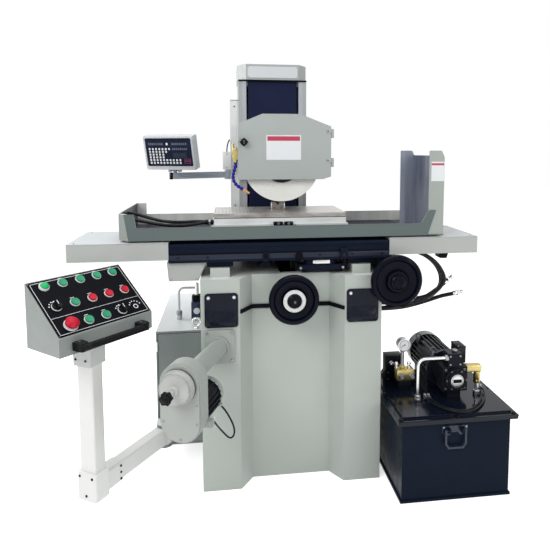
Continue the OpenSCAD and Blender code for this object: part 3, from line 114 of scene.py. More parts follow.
class Net:
    """The shader nodes of a material or of the world."""

    def __init__(self, owner):
        owner.use_nodes = True
        self.tree = owner.node_tree
        self.tree.nodes.clear()

    def node(self, kind, **inputs):
        made = self.tree.nodes.new(kind)
        for key, value in inputs.items():
            made.inputs[key.replace("_", " ")].default_value = value
        return made

    def link(self, source, target):
        self.tree.links.new(source, target)

    def feed(self, socket, value):
        """Set a socket to a number or a colour, or link it to another node."""
        if isinstance(value, (int, float)):
            socket.default_value = value
        elif isinstance(value, tuple):
            socket.default_value = (*value, 1.0)
        else:
            self.link(value, socket)

    def math(self, kind, a, b=None):
        made = self.node("ShaderNodeMath")
        made.operation = kind
        self.feed(made.inputs[0], a)
        if b is not None:
            self.feed(made.inputs[1], b)
        return made.outputs[0]

    def seen(self):
        """1 for what the camera sees, also in a reflection or through glass, and 0 for light."""
        ray = self.node("ShaderNodeLightPath").outputs
        indirect = self.math("MAXIMUM", ray["Is Glossy Ray"], ray["Is Transmission Ray"])
        return self.math("MAXIMUM", ray["Is Camera Ray"], indirect)


class MaterialNet(Net):
    """A procedural material: a Principled shader and the nodes that feed it."""

    def __init__(self, name):
        self.material = bpy.data.materials.new(name)
        super().__init__(self.material)
        self.shader = self.node("ShaderNodeBsdfPrincipled")
        self.link(self.shader.outputs["BSDF"], self.node("ShaderNodeOutputMaterial").inputs["Surface"])
        self.coord = self.node("ShaderNodeTexCoord").outputs["Object"]

    def noise(self, scale, detail, stretch=None):
        made = self.node("ShaderNodeTexNoise", Scale=scale, Detail=detail)
        vector = self.coord
        if stretch:
            mapping = self.node("ShaderNodeMapping", Scale=stretch)
            self.link(self.coord, mapping.inputs["Vector"])
            vector = mapping.outputs["Vector"]
        self.link(vector, made.inputs["Vector"])
        return made.outputs["Fac"]

    def remap(self, value, low, high, start=0.3, end=0.7):
        made = self.node("ShaderNodeMapRange", From_Min=start, From_Max=end, To_Min=low, To_Max=high)
        self.link(value, made.inputs["Value"])
        return made.outputs["Result"]

    def clouds(self, scale, detail, stretch=None, start=0.3, end=0.7):
        """Noise spread over the range from 0 to 1."""
        return self.remap(self.noise(scale, detail, stretch), 0.0, 1.0, start, end)

    def mix(self, factor, a, b):
        made = self.node("ShaderNodeMix")
        made.data_type = "RGBA"
        for index, value in ((0, factor), (6, a), (7, b)):
            self.feed(made.inputs[index], value)
        return made.outputs[2]

    def times(self, a, b):
        return self.math("MULTIPLY", a, b)

    def above(self, value, limit):
        return self.math("GREATER_THAN", value, limit)

    def below(self, value, limit):
        return self.math("LESS_THAN", value, limit)

    def within(self, value, low, high):
        return self.times(self.above(value, low), self.below(value, high))

    def parts(self, vector):
        made = self.node("ShaderNodeSeparateXYZ")
        self.link(vector, made.inputs[0])
        return list(made.outputs)

    def axes(self):
        return self.parts(self.coord)

    def facing(self):
        return self.parts(self.node("ShaderNodeNewGeometry").outputs["Normal"])

    def surface(self, bump, strength, distance, edge=0.0):
        made = self.node("ShaderNodeBump", Strength=strength, Distance=distance)
        self.link(bump, made.inputs["Height"])
        if edge:
            bevel = self.node("ShaderNodeBevel", Radius=edge)
            bevel.samples = 4
            self.link(bevel.outputs["Normal"], made.inputs["Normal"])
        self.link(made.outputs["Normal"], self.shader.inputs["Normal"])

    def set(self, **values):
        for key, value in values.items():
            self.feed(self.shader.inputs[key.replace("_", " ")], value)


def shade(colour, factor):
    return tuple(min(1.0, c * factor) for c in colour)


def paint_colour(net, colour, spread):
    """Enamel that is a little uneven: broad clouds, handling marks and fine specks."""
    broad = net.mix(net.clouds(2.3, 3.0), shade(colour, 1.0 - spread), shade(colour, 1.0 + spread))
    marks = net.times(net.clouds(19.0, 6.0), 0.5)
    marked = net.mix(marks, broad, shade(colour, 1.0 - 0.8 * spread))
    specks = net.times(net.clouds(420.0, 2.0, None, 0.35, 0.65), 0.18)
    return net.mix(specks, marked, shade(colour, 1.0 + 1.4 * spread))


def paint(name, colour, rough=0.42, spread=0.05, peel=0.12, edge=0.0018, coat=0.12, finish=None, gloss=0.5):
    """Enamel, with a finish that may colour some of its faces and make them metallic."""
    net = MaterialNet(name)
    base, metallic = paint_colour(net, colour, spread), 0.0
    if finish:
        base, metallic = finish(net, base)
    roughness = net.remap(net.noise(31.0, 5.0), rough - 0.07, rough + 0.09)
    net.set(Base_Color=base, Roughness=roughness, Metallic=metallic, Coat_Weight=coat, Coat_Roughness=0.25,
            Specular_IOR_Level=gloss)
    net.surface(net.noise(700.0, 3.0), peel, 0.0006, edge)
    return net.material


def even(scale):
    """A grain that is the same along all three axes."""
    return (scale, scale, scale)


def metal(name, colour, rough=0.3, grain=(6.0, 260.0, 260.0), spread=0.10, dark_tone=None):
    """Bare metal with machining lines and a stain in clouds."""
    net = MaterialNet(name)
    lines = net.clouds(1.0, 4.0, grain, 0.25, 0.75)
    base = net.mix(lines, shade(colour, 1.0 - spread), shade(colour, 1.0 + spread))
    base = net.mix(net.times(net.clouds(14.0, 5.0), 0.35), base, dark_tone or shade(colour, 0.82))
    net.set(Base_Color=base, Metallic=1.0, Roughness=net.remap(lines, rough - 0.08, rough + 0.12, 0.0, 1.0))
    net.surface(net.noise(1.0, 3.0, grain), 0.12, 0.0004, 0.0008)
    return net.material


def plastic(name, colour, rough=0.3, spread=0.06, bumps=0.08, edge=0.0008, glow=0.0, gloss=0.5, dusty=0.10):
    """Moulded plastic with a little dust."""
    net = MaterialNet(name)
    dust = net.clouds(150.0, 5.0, None, 0.5, 0.8)
    base = net.mix(net.clouds(26.0, 4.0), shade(colour, 1.0 - spread), shade(colour, 1.0 + spread))
    base = net.mix(net.times(dust, dusty), base, (0.5, 0.5, 0.5))
    roughness = net.remap(dust, rough, rough + 0.14, 0.0, 1.0)
    net.set(Base_Color=base, Roughness=roughness, Coat_Weight=0.0, Specular_IOR_Level=gloss)
    if glow:
        net.set(Emission_Color=base, Emission_Strength=glow)
    net.surface(net.noise(900.0, 2.0), bumps, 0.0003, edge)
    return net.material


def rubber(name, colour, rough=0.62, grain=520.0, gloss=0.18, bloomed=0.03):
    """Rubber with a grey bloom."""
    net = MaterialNet(name)
    bloom = net.clouds(60.0, 6.0, None, 0.45, 0.75)
    base = net.mix(net.clouds(12.0, 5.0), shade(colour, 0.8), shade(colour, 1.25))
    base = net.mix(net.times(bloom, bloomed), base, (0.35, 0.36, 0.40))
    roughness = net.remap(bloom, rough - 0.1, rough + 0.12, 0.0, 1.0)
    net.set(Base_Color=base, Roughness=roughness, Specular_IOR_Level=gloss)
    net.surface(net.noise(grain, 3.0), 0.2, 0.0005, 0.001)
    return net.material


def vitrified(name):
    """Bonded abrasive grains with open pits."""
    net = MaterialNet(name)
    grains = net.node("ShaderNodeTexVoronoi", Scale=620.0)
    net.link(net.coord, grains.inputs["Vector"])
    pits = net.clouds(260.0, 4.0, None, 0.55, 0.75)
    base = net.mix(net.clouds(8.0, 6.0), (0.88, 0.875, 0.82), (0.93, 0.925, 0.88))
    base = net.mix(net.times(pits, 0.35), base, (0.46, 0.44, 0.40))
    net.set(Base_Color=base, Roughness=0.88)
    net.surface(grains.outputs["Distance"], 0.4, 0.0012, 0.0025)
    return net.material


GREY = (0.375, 0.408, 0.376)


def column_finish(net, base):
    """The inner half of each vertical way is ground and left bright."""
    x, y, _ = net.axes()
    _, ny, _ = net.facing()
    strips = net.math("ADD", net.within(x, -0.184, -0.162), net.within(x, 0.106, 0.127))
    way = net.times(net.times(net.below(y, 0.1407), net.below(ny, -0.7)), strips)
    lines = net.clouds(1.0, 4.0, (500.0, 500.0, 9.0), 0.25, 0.75)
    bright = net.mix(lines, (0.34, 0.35, 0.385), (0.45, 0.455, 0.495))
    return net.mix(way, base, bright), net.times(way, 0.2)


def base_finish(net, base):
    """The tops of the cross ways are ground, the deck's top is painted pale as painted light against the
    shade under the saddle, and the foot is a little darker.
    """
    _, _, z = net.axes()
    _, _, nz = net.facing()
    way_foot = 0.9062
    level = net.above(nz, 0.5)
    lines = net.clouds(1.0, 4.0, (400.0, 7.0, 400.0), 0.25, 0.75)
    ground = net.mix(lines, (0.22, 0.23, 0.22), (0.34, 0.35, 0.34))
    out = net.mix(net.remap(z, 0.86, 1.0, 0.0, 0.22), shade(GREY, 0.72), base)
    # Deck top painted pale: painted light where the saddle shades it.
    out = net.mix(net.times(net.within(z, 0.90, way_foot), level), out, (0.70, 0.72, 0.70))
    return net.mix(net.times(net.above(z, way_foot), level), out, ground), 0.0


def lift_motor_finish(net, base):
    """The rear end cap of the elevating motor is machine grey."""
    axis = DRIVE.to_3x3() @ Vector((0, 0, 1))
    dot = net.node("ShaderNodeVectorMath")
    dot.operation = "DOT_PRODUCT"
    dot.inputs[1].default_value = axis
    net.link(net.coord, dot.inputs[0])
    along = net.math("SUBTRACT", dot.outputs["Value"], axis.dot(Vector(DRIVE_FOOT)) * MM)
    return net.mix(net.below(along, 0.1655), base, shade(GREY, 0.95)), 0.0


def pump_motor_finish(net, base):
    """The fan cover at the motor's far end is pale sheet."""
    _, y, _ = net.axes()
    return net.mix(net.above(y, -0.2165), base, (0.30, 0.32, 0.34)), 0.0


def trough_finish(net, base):
    """The trough is dark navy inside, on its inner faces and floor. Its slanted corner is painted lighter, a
    painted highlight where it catches the light, and the front face of its back wall is pale in upright
    streaks, painted paler still as painted light against the shade there.
    """
    _, y, z = net.axes()
    nx, ny, nz = net.facing()
    inner = net.math("MAXIMUM", net.above(ny, 0.3), net.above(nx, 0.3))
    inner = net.times(inner, net.within(y, TROUGH_FRONT * MM, 0.0615))
    floor = net.times(net.above(nz, 0.5), net.below(z, 1.068))
    dark = net.math("MINIMUM", net.math("ADD", inner, floor), 1.0)
    behind = net.times(net.below(ny, -0.5), net.above(y, 0.0))
    corner = net.times(net.below(nx, -0.3), net.below(ny, -0.3))
    # Front face of the back wall: pale streaks, raised as painted light against the shade on it.
    back_tone_and_painted_light = net.mix(net.clouds(1.0, 3.0, (24.0, 24.0, 2.0)), (0.50, 0.51, 0.49), (0.64, 0.645, 0.62))
    dark_tone = net.mix(net.clouds(7.0, 5.0), (0.010, 0.013, 0.026), (0.034, 0.038, 0.052))
    # Slanted corner painted lighter: a painted highlight.
    out = net.mix(corner, base, shade(GREY, 0.72))
    return net.mix(dark, net.mix(behind, out, back_tone_and_painted_light), dark_tone), 0.0


def splash_finish(net, base):
    """The inside of the tall splash guard is painted darker and bluish in upright streaks: painted shade,
    with a painted bluish reflection.
    """
    _, y, _ = net.axes()
    nx, ny, _ = net.facing()
    back = net.times(net.below(ny, -0.5), net.above(y, -0.2))
    inside = net.math("MAXIMUM", net.below(nx, -0.5), back)
    painted_shade_streaks = net.clouds(1.0, 3.0, (11.0, 6.0, 1.1), 0.32, 0.66)
    # Inner faces: painted shade and painted reflection in upright streaks.
    return net.mix(inside, base, net.mix(painted_shade_streaks, (0.095, 0.110, 0.165), (0.390, 0.415, 0.490))), 0.0


def painted_lit_top(colour):
    """A finish that paints the upward faces paler: painted light on the tops."""
    def finish(net, base):
        _, _, nz = net.facing()
        return net.mix(net.above(nz, 0.7), base, colour), 0.0
    return finish


def pendant_finish(net, base):
    """The collar under the pendant box is powder coated like the post."""
    _, _, z = net.axes()
    return net.mix(net.below(z, 0.7475), base, (0.640, 0.650, 0.635)), 0.0


def chuck_finish(net, base):
    """Pole strips across the chuck's top, rust on its upper front and a pale lower half."""
    x, _, z = net.axes()
    _, _, nz = net.facing()
    seam_low, seam_high = 1.1257, 1.1283
    top = net.times(net.above(z, 1.1475), net.above(nz, 0.8))
    stripe = net.below(net.math("FRACT", net.times(x, 62.0)), 0.16)
    lower = net.below(z, seam_low)
    rust = net.remap(net.noise(9.0, 6.0, (1.0, 1.0, 3.0)), 0.0, 0.7, 0.42, 0.68)
    rust = net.times(rust, net.math("SUBTRACT", 1.0, top))
    out = net.mix(net.times(net.times(top, stripe), 0.55), base, (0.30, 0.24, 0.15))
    out = net.mix(rust, out, (0.22, 0.15, 0.11))
    out = net.mix(lower, out, net.mix(rust, (0.86, 0.89, 0.88), (0.68, 0.70, 0.68)))
    out = net.mix(net.within(z, seam_low, seam_high), out, (0.03, 0.03, 0.035))
    return out, net.times(net.math("SUBTRACT", 1.0, lower), 0.55)


machine_paint = paint("machine_enamel", GREY, 0.40)
head_paint = paint("head_enamel", (0.365, 0.395, 0.384), 0.40)
column_paint = paint("column_enamel_and_ways", (0.350, 0.380, 0.366), 0.40, finish=column_finish)
base_paint = paint("base_enamel_and_ways", shade(GREY, 1.16), 0.42, finish=base_finish, edge=0.003)
trough_paint = paint("trough_enamel", (0.104, 0.134, 0.130), 0.42, finish=trough_finish, gloss=0.30)
splash_paint = paint("splash_enamel", shade(GREY, 0.92), 0.42, finish=splash_finish, gloss=0.35)
cover_paint = paint("cover_enamel", (0.480, 0.492, 0.474), 0.42)
# The sheet covers' upward faces are painted paler as painted light.
sheet_paint = paint("sheet_cover_enamel", (0.425, 0.440, 0.418), 0.42, finish=painted_lit_top((0.52, 0.55, 0.565)))
# The cabinet's front and sides are painted dark as painted shade under the table, and its top near white as
# painted light.
cabinet_paint = paint("cabinet_enamel", (0.190, 0.222, 0.216), 0.42, finish=painted_lit_top((0.86, 0.89, 0.91)))
pendant_paint = paint("pendant_enamel", (0.265, 0.290, 0.275), 0.42, finish=pendant_finish)
drive_paint = paint("drive_enamel", (0.375, 0.400, 0.375), 0.36, coat=0.15)
tube_paint = paint("tube_enamel", (0.335, 0.360, 0.335), 0.36, coat=0.15)
arm_grey = paint("arm_enamel", (0.330, 0.370, 0.435), 0.38)
table_paint = paint("table_enamel", (0.62, 0.64, 0.60), 0.38)
white_paint = paint("white_powder_coat", (0.790, 0.790, 0.775), 0.44, spread=0.03, peel=0.2)
plate_white = paint("blank_plate", (0.72, 0.74, 0.75), 0.34, spread=0.02, peel=0.05, edge=0.0)
plate_cap = paint("cap_plate_enamel", (0.60, 0.62, 0.64), 0.34, spread=0.03, peel=0.05, edge=0.0)
plate_band = paint("plate_band", (0.46, 0.035, 0.085), 0.36, spread=0.05, peel=0.05, edge=0.0)
chuck_steel = paint("ground_chuck", (0.64, 0.625, 0.605), 0.34, spread=0.06, peel=0.06, edge=0.001,
                    coat=0.0, finish=chuck_finish)


def dark_paint(name, colour, rough, spread=0.25, peel=0.12, gloss=0.06, edge=0.0018, finish=None):
    """Nearly black enamel without a clear coat."""
    return paint(name, colour, rough, spread, peel, edge, 0.0, finish, gloss)


navy_paint = dark_paint("navy_enamel", (0.0062, 0.0100, 0.0220), 0.38, gloss=0.05)
rail_paint = dark_paint("saddle_rail_enamel", (0.0240, 0.0300, 0.0480), 0.36, gloss=0.12)
way_cover_paint = dark_paint("way_cover_enamel", (0.0120, 0.0165, 0.0450), 0.42, spread=0.3)
tank_paint = dark_paint("tank_enamel", (0.0050, 0.0100, 0.0210), 0.34, peel=0.06)
lid_paint = dark_paint("tank_lid_enamel", (0.0040, 0.0070, 0.0150), 0.12, peel=0.05, gloss=0.24)
bail_paint = dark_paint("bail_enamel", (0.0150, 0.0220, 0.0400), 0.16, spread=0.2, peel=0.03, gloss=0.40)
black_paint = dark_paint("motor_enamel", (0.0060, 0.0070, 0.0110), 0.34, gloss=0.10)
lift_motor_paint = dark_paint("lift_motor_enamel", (0.0120, 0.0130, 0.0180), 0.38, gloss=0.14,
                              finish=lift_motor_finish)
pump_motor_paint = dark_paint("pump_motor_enamel", (0.0065, 0.0080, 0.0140), 0.20, gloss=0.28,
                              finish=pump_motor_finish)
wheel_enamel = dark_paint("handwheel_enamel", (0.0022, 0.0034, 0.0085), 0.16, spread=0.2, peel=0.03,
                          gloss=0.08, edge=0.002)

ground_steel = metal("ground_steel", (0.62, 0.62, 0.61))
bright_steel = metal("bright_steel", (0.72, 0.72, 0.72), 0.20, grain=even(180.0), spread=0.05)
screw_steel = metal("screw_steel", (0.34, 0.34, 0.36), 0.36, grain=even(160.0))
dark_steel = metal("oiled_steel", (0.13, 0.135, 0.145), 0.38, grain=even(150.0), spread=0.12)
black_oxide = metal("black_oxide", (0.020, 0.021, 0.026), 0.40, grain=even(150.0), spread=0.15)
block_steel = metal("used_steel", (0.24, 0.22, 0.205), 0.42, grain=(220.0, 9.0, 220.0), spread=0.15,
                    dark_tone=(0.20, 0.13, 0.09))
brass = metal("brass", (0.60, 0.49, 0.20), 0.30, grain=even(90.0), dark_tone=(0.36, 0.29, 0.12))

black_plastic = plastic("black_phenolic", (0.0065, 0.0067, 0.0080), 0.26, spread=0.2, gloss=0.10, dusty=0.01)
panel_black = plastic("panel_black", (0.0042, 0.0045, 0.0070), 0.40, spread=0.2, edge=0.0, gloss=0.04,
                      dusty=0.005)
green_plastic = plastic("green_cap", (0.020, 0.300, 0.150), 0.26, gloss=0.25, dusty=0.02)
red_plastic = plastic("red_cap", (0.520, 0.008, 0.032), 0.26, gloss=0.2, dusty=0.01)
lamp_green = plastic("lit_green_lens", (0.010, 0.340, 0.110), 0.18, glow=0.35, gloss=0.25, dusty=0.0)
white_plastic = plastic("white_moulding", (0.72, 0.73, 0.72), 0.36, spread=0.03)
key_white = plastic("key_white", (0.80, 0.82, 0.84), 0.4, spread=0.03, edge=0.0)
key_pink = plastic("key_pink", (0.36, 0.05, 0.16), 0.4, spread=0.05, edge=0.0)
readout_silver = plastic("readout_case", (0.58, 0.605, 0.63), 0.36, spread=0.05)
readout_navy = plastic("readout_face", (0.0110, 0.0155, 0.0360), 0.36, spread=0.25, edge=0.0, gloss=0.06,
                       dusty=0.01)
readout_digit = plastic("readout_digits", (0.14, 0.165, 0.23), 0.40, spread=0.2, edge=0.0, gloss=0.08,
                        dusty=0.01)
readout_glass = plastic("readout_display", (0.0190, 0.0260, 0.0540), 0.18, spread=0.2, bumps=0.02, edge=0.0,
                        gloss=0.12, dusty=0.02)
blue_plastic = plastic("hose_blue", (0.012, 0.013, 0.300), 0.32, spread=0.15, gloss=0.3, dusty=0.03)
orange_plastic = plastic("nozzle_orange", (0.86, 0.42, 0.22), 0.38, spread=0.05)
oil_plastic = plastic("oil_cup", (0.016, 0.028, 0.080), 0.24, spread=0.2, gloss=0.3)
hose_rubber = rubber("hose_rubber", (0.0058, 0.0060, 0.0085), 0.42, gloss=0.16)
seal_rubber = rubber("seal_rubber", (0.0040, 0.0046, 0.0075), gloss=0.04, bloomed=0.005)
flap_rubber = rubber("flap_rubber", (0.0028, 0.0050, 0.0130), 0.28, grain=300.0, gloss=0.16, bloomed=0.005)
mat_rubber = rubber("mat_rubber", (0.0120, 0.0135, 0.0210), 0.60)
abrasive = vitrified("vitrified_abrasive")

RED_BUTTONS = (4, 5, 6)
NODE_MATERIALS = {
    "base_casting": base_paint, "rubber_covers": seal_rubber, "column": column_paint,
    "column_cap": head_paint, "way_cover": way_cover_paint, "electric_cabinet": cabinet_paint,
    "oil_fittings": oil_plastic, "scale_cover": white_plastic, "elevating_tube": tube_paint,
    "belt_housing": drive_paint, "elevating_motor": lift_motor_paint, "motor_cable": hose_rubber,
    "tank": tank_paint, "tank_lid": lid_paint, "pump_motor": pump_motor_paint, "pump": black_paint,
    "hydraulic_fittings": brass, "hydraulic_hoses": hose_rubber, "tank_bail": bail_paint,
    "elevating_screw": dark_steel, "elevating_dial": cover_paint, "star_knob": black_plastic,
    "pendant_arm": white_paint, "pendant_box": pendant_paint, "pendant_handle": black_plastic,
    "stop_button": red_plastic, "mode_selector": black_plastic, "speed_selector": black_plastic,
    "saddle": navy_paint, "saddle_covers": sheet_paint, "table": table_paint, "trough": trough_paint,
    "splash_guard": splash_paint, "magnetic_chuck": chuck_steel, "trip_dogs": black_plastic,
    "chuck_cable": hose_rubber, "wheelhead": head_paint, "wheel_guard": head_paint, "guard_door": head_paint,
    "door_knob": black_plastic, "coolant_valve": brass, "coolant_lever": brass, "coolant_hose": blue_plastic,
    "reader_head": white_plastic, "spindle": black_oxide, "grinding_wheel": abrasive,
    "cross_handwheel": wheel_enamel, "table_handwheel": wheel_enamel, "readout_arm": arm_grey,
    "readout": readout_silver,
}
for number in range(1, 11):
    NODE_MATERIALS["push_button_%d" % number] = red_plastic if number in RED_BUTTONS else green_plastic
for name, material in NODE_MATERIALS.items():
    slots = nodes[name].data.materials
    slots.clear()
    slots.append(material)

# Shapes, drawn in millimetres and scaled to metres when a piece is done

SHARP_ANGLE = math.radians(38.0)


class Piece:
    """One object gathered from several shapes, each with its own material."""

    def __init__(self, name):
        self.name = name
        self.mesh = bmesh.new()
        self.materials = []

    def add(self, shape, material, place=None):
        if material not in self.materials:
            self.materials.append(material)
        if place is not None:
            bmesh.ops.transform(shape, matrix=place, verts=shape.verts)
        bmesh.ops.recalc_face_normals(shape, faces=shape.faces)
        for face in shape.faces:
            face.material_index = self.materials.index(material)
            face.smooth = True
        data = bpy.data.meshes.new("shape")
        shape.to_mesh(data)
        shape.free()
        self.mesh.from_mesh(data)
        bpy.data.meshes.remove(data)
        return self

    def done(self, body, slot, stands_for=None):
        bmesh.ops.scale(self.mesh, vec=(MM, MM, MM), verts=self.mesh.verts)
        data = bpy.data.meshes.new(self.name)
        self.mesh.to_mesh(data)
        self.mesh.free()
        for material in self.materials:
            data.materials.append(material)
        data.set_sharp_from_angle(angle=SHARP_ANGLE)
        made = bpy.data.objects.new(self.name, data)
        scene.collection.objects.link(made)
        if body:
            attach(made, body)
        if stands_for:
            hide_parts(stands_for)
        return made


def rides(body, slot, stands_for=None):
    """Make the piece that a function draws, named after it, and let it ride on a body."""
    def make(draw):
        piece = Piece(draw.__name__)
        draw(piece)
        return piece.done(body, slot, stands_for)
    return make


def soften(shape, edges, offset, segments=2):
    bmesh.ops.bevel(shape, geom=edges, offset=offset, segments=segments, profile=0.5, affect="EDGES",
                    clamp_overlap=True)


def box(low, high, bevel=1.0, segments=2):
    """Block between two corners with rounded edges."""
    shape = bmesh.new()
    bmesh.ops.create_cube(shape, size=1.0)
    bmesh.ops.scale(shape, vec=[h - l for l, h in zip(low, high)], verts=shape.verts)
    bmesh.ops.translate(shape, vec=[(l + h) / 2 for l, h in zip(low, high)], verts=shape.verts)
    if bevel:
        soften(shape, shape.edges[:], bevel, segments)
    return shape


def polar(r, angle):
    return r * math.cos(math.radians(angle)), r * math.sin(math.radians(angle))


def moved(outline, x, y):
    return [(px + x, py + y) for px, py in outline]


def circle(x, y, r, steps=28):
    return moved([polar(r, 360 * k / steps) for k in range(steps)], x, y)


def rounded(w, h, r, steps=6):
    """Outline of a rectangle about the middle with round corners."""
    points = []
    for quarter, (x, y) in enumerate(((1, 1), (-1, 1), (-1, -1), (1, -1))):
        corner = [polar(r, 90 * (quarter + k / steps)) for k in range(steps + 1)]
        points += moved(corner, x * (w / 2 - r), y * (h / 2 - r))
    return points


def upright_arc(x, y, z, rx, rz, steps, sweep=360):
    """Points of an upright arc that faces the operator, without its last point where it closes."""
    count = steps if sweep == 360 else steps + 1
    turns = [polar(1, sweep * k / steps) for k in range(count)]
    return [(x + rx * across, y, z + rz * up) for across, up in turns]


def skin(shape, rings, closed=False):
    """Faces between each ring of points and the next, where a ring of one point is a tip."""
    following = rings[1:] + rings[:1] if closed else rings[1:]
    for a, b in zip(rings, following):
        steps = max(len(a), len(b))
        for k in range(steps if steps > 1 else 0):
            corners = (a[k % len(a)], b[k % len(b)], b[(k + 1) % len(b)], a[(k + 1) % len(a)])
            shape.faces.new(dict.fromkeys(corners))


def turned(profile, steps=32, closed=False):
    """Body of revolution about Z from (radius, height) points."""
    shape = bmesh.new()
    rings = []
    for r, z in profile:
        outline = circle(0, 0, r, steps) if r else [(0, 0)]
        rings.append([shape.verts.new((x, y, z)) for x, y in outline])
    skin(shape, rings, closed)
    return shape


def ring(inner, outer, low, high, steps=40, edge=0.4):
    return turned([(inner, low), (outer - edge, low), (outer, low + edge), (outer, high - edge),
                   (outer - edge, high), (inner + edge, high), (inner, high - edge)], steps, True)


def screw(r, height):
    """Screw with a chamfered head and a sunk socket."""
    return turned([(0, 0), (r, 0), (r, height * 0.8), (r * 0.86, height), (r * 0.52, height),
                   (r * 0.48, height * 0.35), (0, height * 0.35)], 18)


def drum(r, low, high, steps, inset=0, drop=None):
    """Round post between two heights, with its upper edge cut off by an inset and a drop."""
    edge = [(r, high - (drop or inset)), (r - inset, high)] if inset else [(r, high)]
    return turned([(0, low), (r, low), *edge, (0, high)], steps)


def hexagon(r, height):
    """Six-sided nut with chamfered corners."""
    shape = bmesh.new()
    levels = ((0.92 * r, 0), (r, 0.12 * height), (r, 0.88 * height), (0.92 * r, height))
    rings = [[shape.verts.new((x, y, z)) for x, y in circle(0, 0, size, 6)] for size, z in levels]
    skin(shape, rings)
    shape.faces.new(rings[0])
    shape.faces.new(rings[-1])
    return shape


def plate(outline, low, high, holes=()):
    """Flat plate of an X-Y outline with holes, between two heights."""
    shape = bmesh.new()
    loops = [outline, *holes]
    lower = [[shape.verts.new((x, y, low)) for x, y in loop] for loop in loops]
    upper = [[shape.verts.new((x, y, high)) for x, y in loop] for loop in loops]
    triangles = geometry.tessellate_polygon([[Vector((x, y, 0)) for x, y in loop] for loop in loops])
    for level in (lower, upper):
        flat = [vertex for loop in level for vertex in loop]
        for corners in triangles:
            shape.faces.new([flat[k] for k in corners])
    for rings in zip(lower, upper):
        skin(shape, rings)
    return shape


def swept(points, radius, sides=14, closed=False):
    """Tube along points, with a radius or one radius a point."""
    points = [Vector(p) for p in points]
    count = len(points)
    radii = [radius] * count if isinstance(radius, (int, float)) else radius
    shape = bmesh.new()
    rings = []
    normal = None
    for i, point in enumerate(points):
        before = points[i - 1] if i or closed else point
        after = points[(i + 1) % count] if i + 1 < count or closed else point
        along = (after - before).normalized()
        if normal is None:
            normal = along.cross(Vector((0, 0, 1) if abs(along.z) < 0.9 else (1, 0, 0)))
        normal = (normal - along * normal.dot(along)).normalized()
        other = along.cross(normal)
        rings.append([shape.verts.new(point + u * normal + v * other)
                      for u, v in circle(0, 0, radii[i], sides)])
    skin(shape, rings, closed)
    if not closed:
        shape.faces.new(rings[0][::-1])
        shape.faces.new(rings[-1])
    return shape


def resampled(points, step):
    """Even points along a line."""
    lengths = [0.0]
    for a, b in zip(points, points[1:]):
        lengths.append(lengths[-1] + (b - a).length)
    count = max(2, round(lengths[-1] / step))
    out = []
    j = 0
    for k in range(count + 1):
        want = lengths[-1] * k / count
        while j < len(points) - 2 and lengths[j + 1] < want:
            j += 1
        part = (want - lengths[j]) / max(lengths[j + 1] - lengths[j], 1e-9)
        out.append(points[j].lerp(points[j + 1], min(1.0, max(0.0, part))))
    return out


def curve_through(points, step=6.0, ease=10):
    """Even points along a smooth line through given points with straight ends."""
    p = [Vector(q) for q in points]
    p = [p[0], (p[0] + p[1]) / 2] + p[1:-1] + [(p[-2] + p[-1]) / 2, p[-1]]
    dense = []
    for i in range(len(p) - 1):
        a, b, c, d = p[max(i - 1, 0)], p[i], p[i + 1], p[min(i + 2, len(p) - 1)]
        for k in range(12):
            t = k / 12
            dense.append(0.5 * (2 * b + (c - a) * t + (2 * a - 5 * b + 4 * c - d) * t * t
                                + (3 * b - a - 3 * c + d) * t * t * t))
    even = resampled(dense + [p[-1]], step)
    for _ in range(ease):
        eased = [(even[i - 1] + 2 * even[i] + even[i + 1]) / 4 for i in range(2, len(even) - 2)]
        even = even[:2] + eased + even[-2:]
    return resampled(even, step)


def aimed(point, direction):
    """Frame at a point whose local Z runs along a direction."""
    return Matrix.Translation(point) @ Vector(direction).to_track_quat("Z", "Y").to_matrix().to_4x4()


def screws(piece, r, height, material, places):
    for place in places:
        piece.add(screw(r, height), material, place)


def around(place, r, count, first=0):
    """Places on a bolt circle."""
    return [place @ shift(*polar(r, first + 360 * k / count), 0) for k in range(count)]


def graduations(piece, place, count, step, r, sizes, half, low, high):
    """Black scale marks inward from a radius, with each fifth one longer."""
    for k in range(count):
        inner = r - sizes[1 if k % 5 else 0]
        piece.add(box((inner, -half, low), (r, half, high), 0), panel_black, place @ turn(step * k, "Z"))


# Cords


def cord(name, route, radius, stands_for, body=None, between=None, extra=()):
    """A hose or lead along its route, which rides on a body; one that runs between two bodies is left
    unattached.
    """
    path = curve_through(route)
    made = Piece(name).add(swept(path, radius), hose_rubber).done(body, "rubber")
    if between:
        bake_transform(made)
    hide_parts(stands_for)


HOSE_RADIUS, RETURN_RADIUS, LEAD_RADIUS, CABLE_RADIUS = 9.0, 4.0, 3.5, 7.0
BUNDLE_STEPS, BUNDLE_BEND = (0, 26, 52), -45
BUNDLE = [(0.3, 190, -175), (24, 190, -175), (80, 180, -175), (150, 158, -169), (220, 138, -157),
          (276, 128, -129), (310, 125, -83), (308, 125, -31), (278, 125, 19), (230, 125, 57), (170, 125, 83),
          (107.3, 125, 99), (73.3, 125, 103), (47.3, 125, 103)]
LOOSE = [[(0.3, 230, -210), (24, 230, -210), (90, 222, -209), (170, 200, -195), (240, 176, -163),
          (308, 158, -112), (352, 150, -72)],
         [(0.3, 262, -225), (24, 262, -225), (90, 256, -225), (180, 236, -213), (270, 212, -184),
          (340, 198, -158), (412, 188, -142)]]
RETURNS = [[(172, -50, 10), (172, -66, 10), (184, -98, 7), (204, -134, 6), (236, -168, 6), (282, -186, 6),
            (336, -168, 6), (392, -116, 7), (434, -52, 10), (448, -14, 14), (448, 2, 14)],
           [(188, -50, 10), (188, -66, 10), (198, -96, 7), (216, -128, 6), (244, -156, 6), (282, -171, 6),
            (330, -156, 6), (382, -108, 7), (421, -48, 10), (434, -14, 14), (434, 2, 14)]]
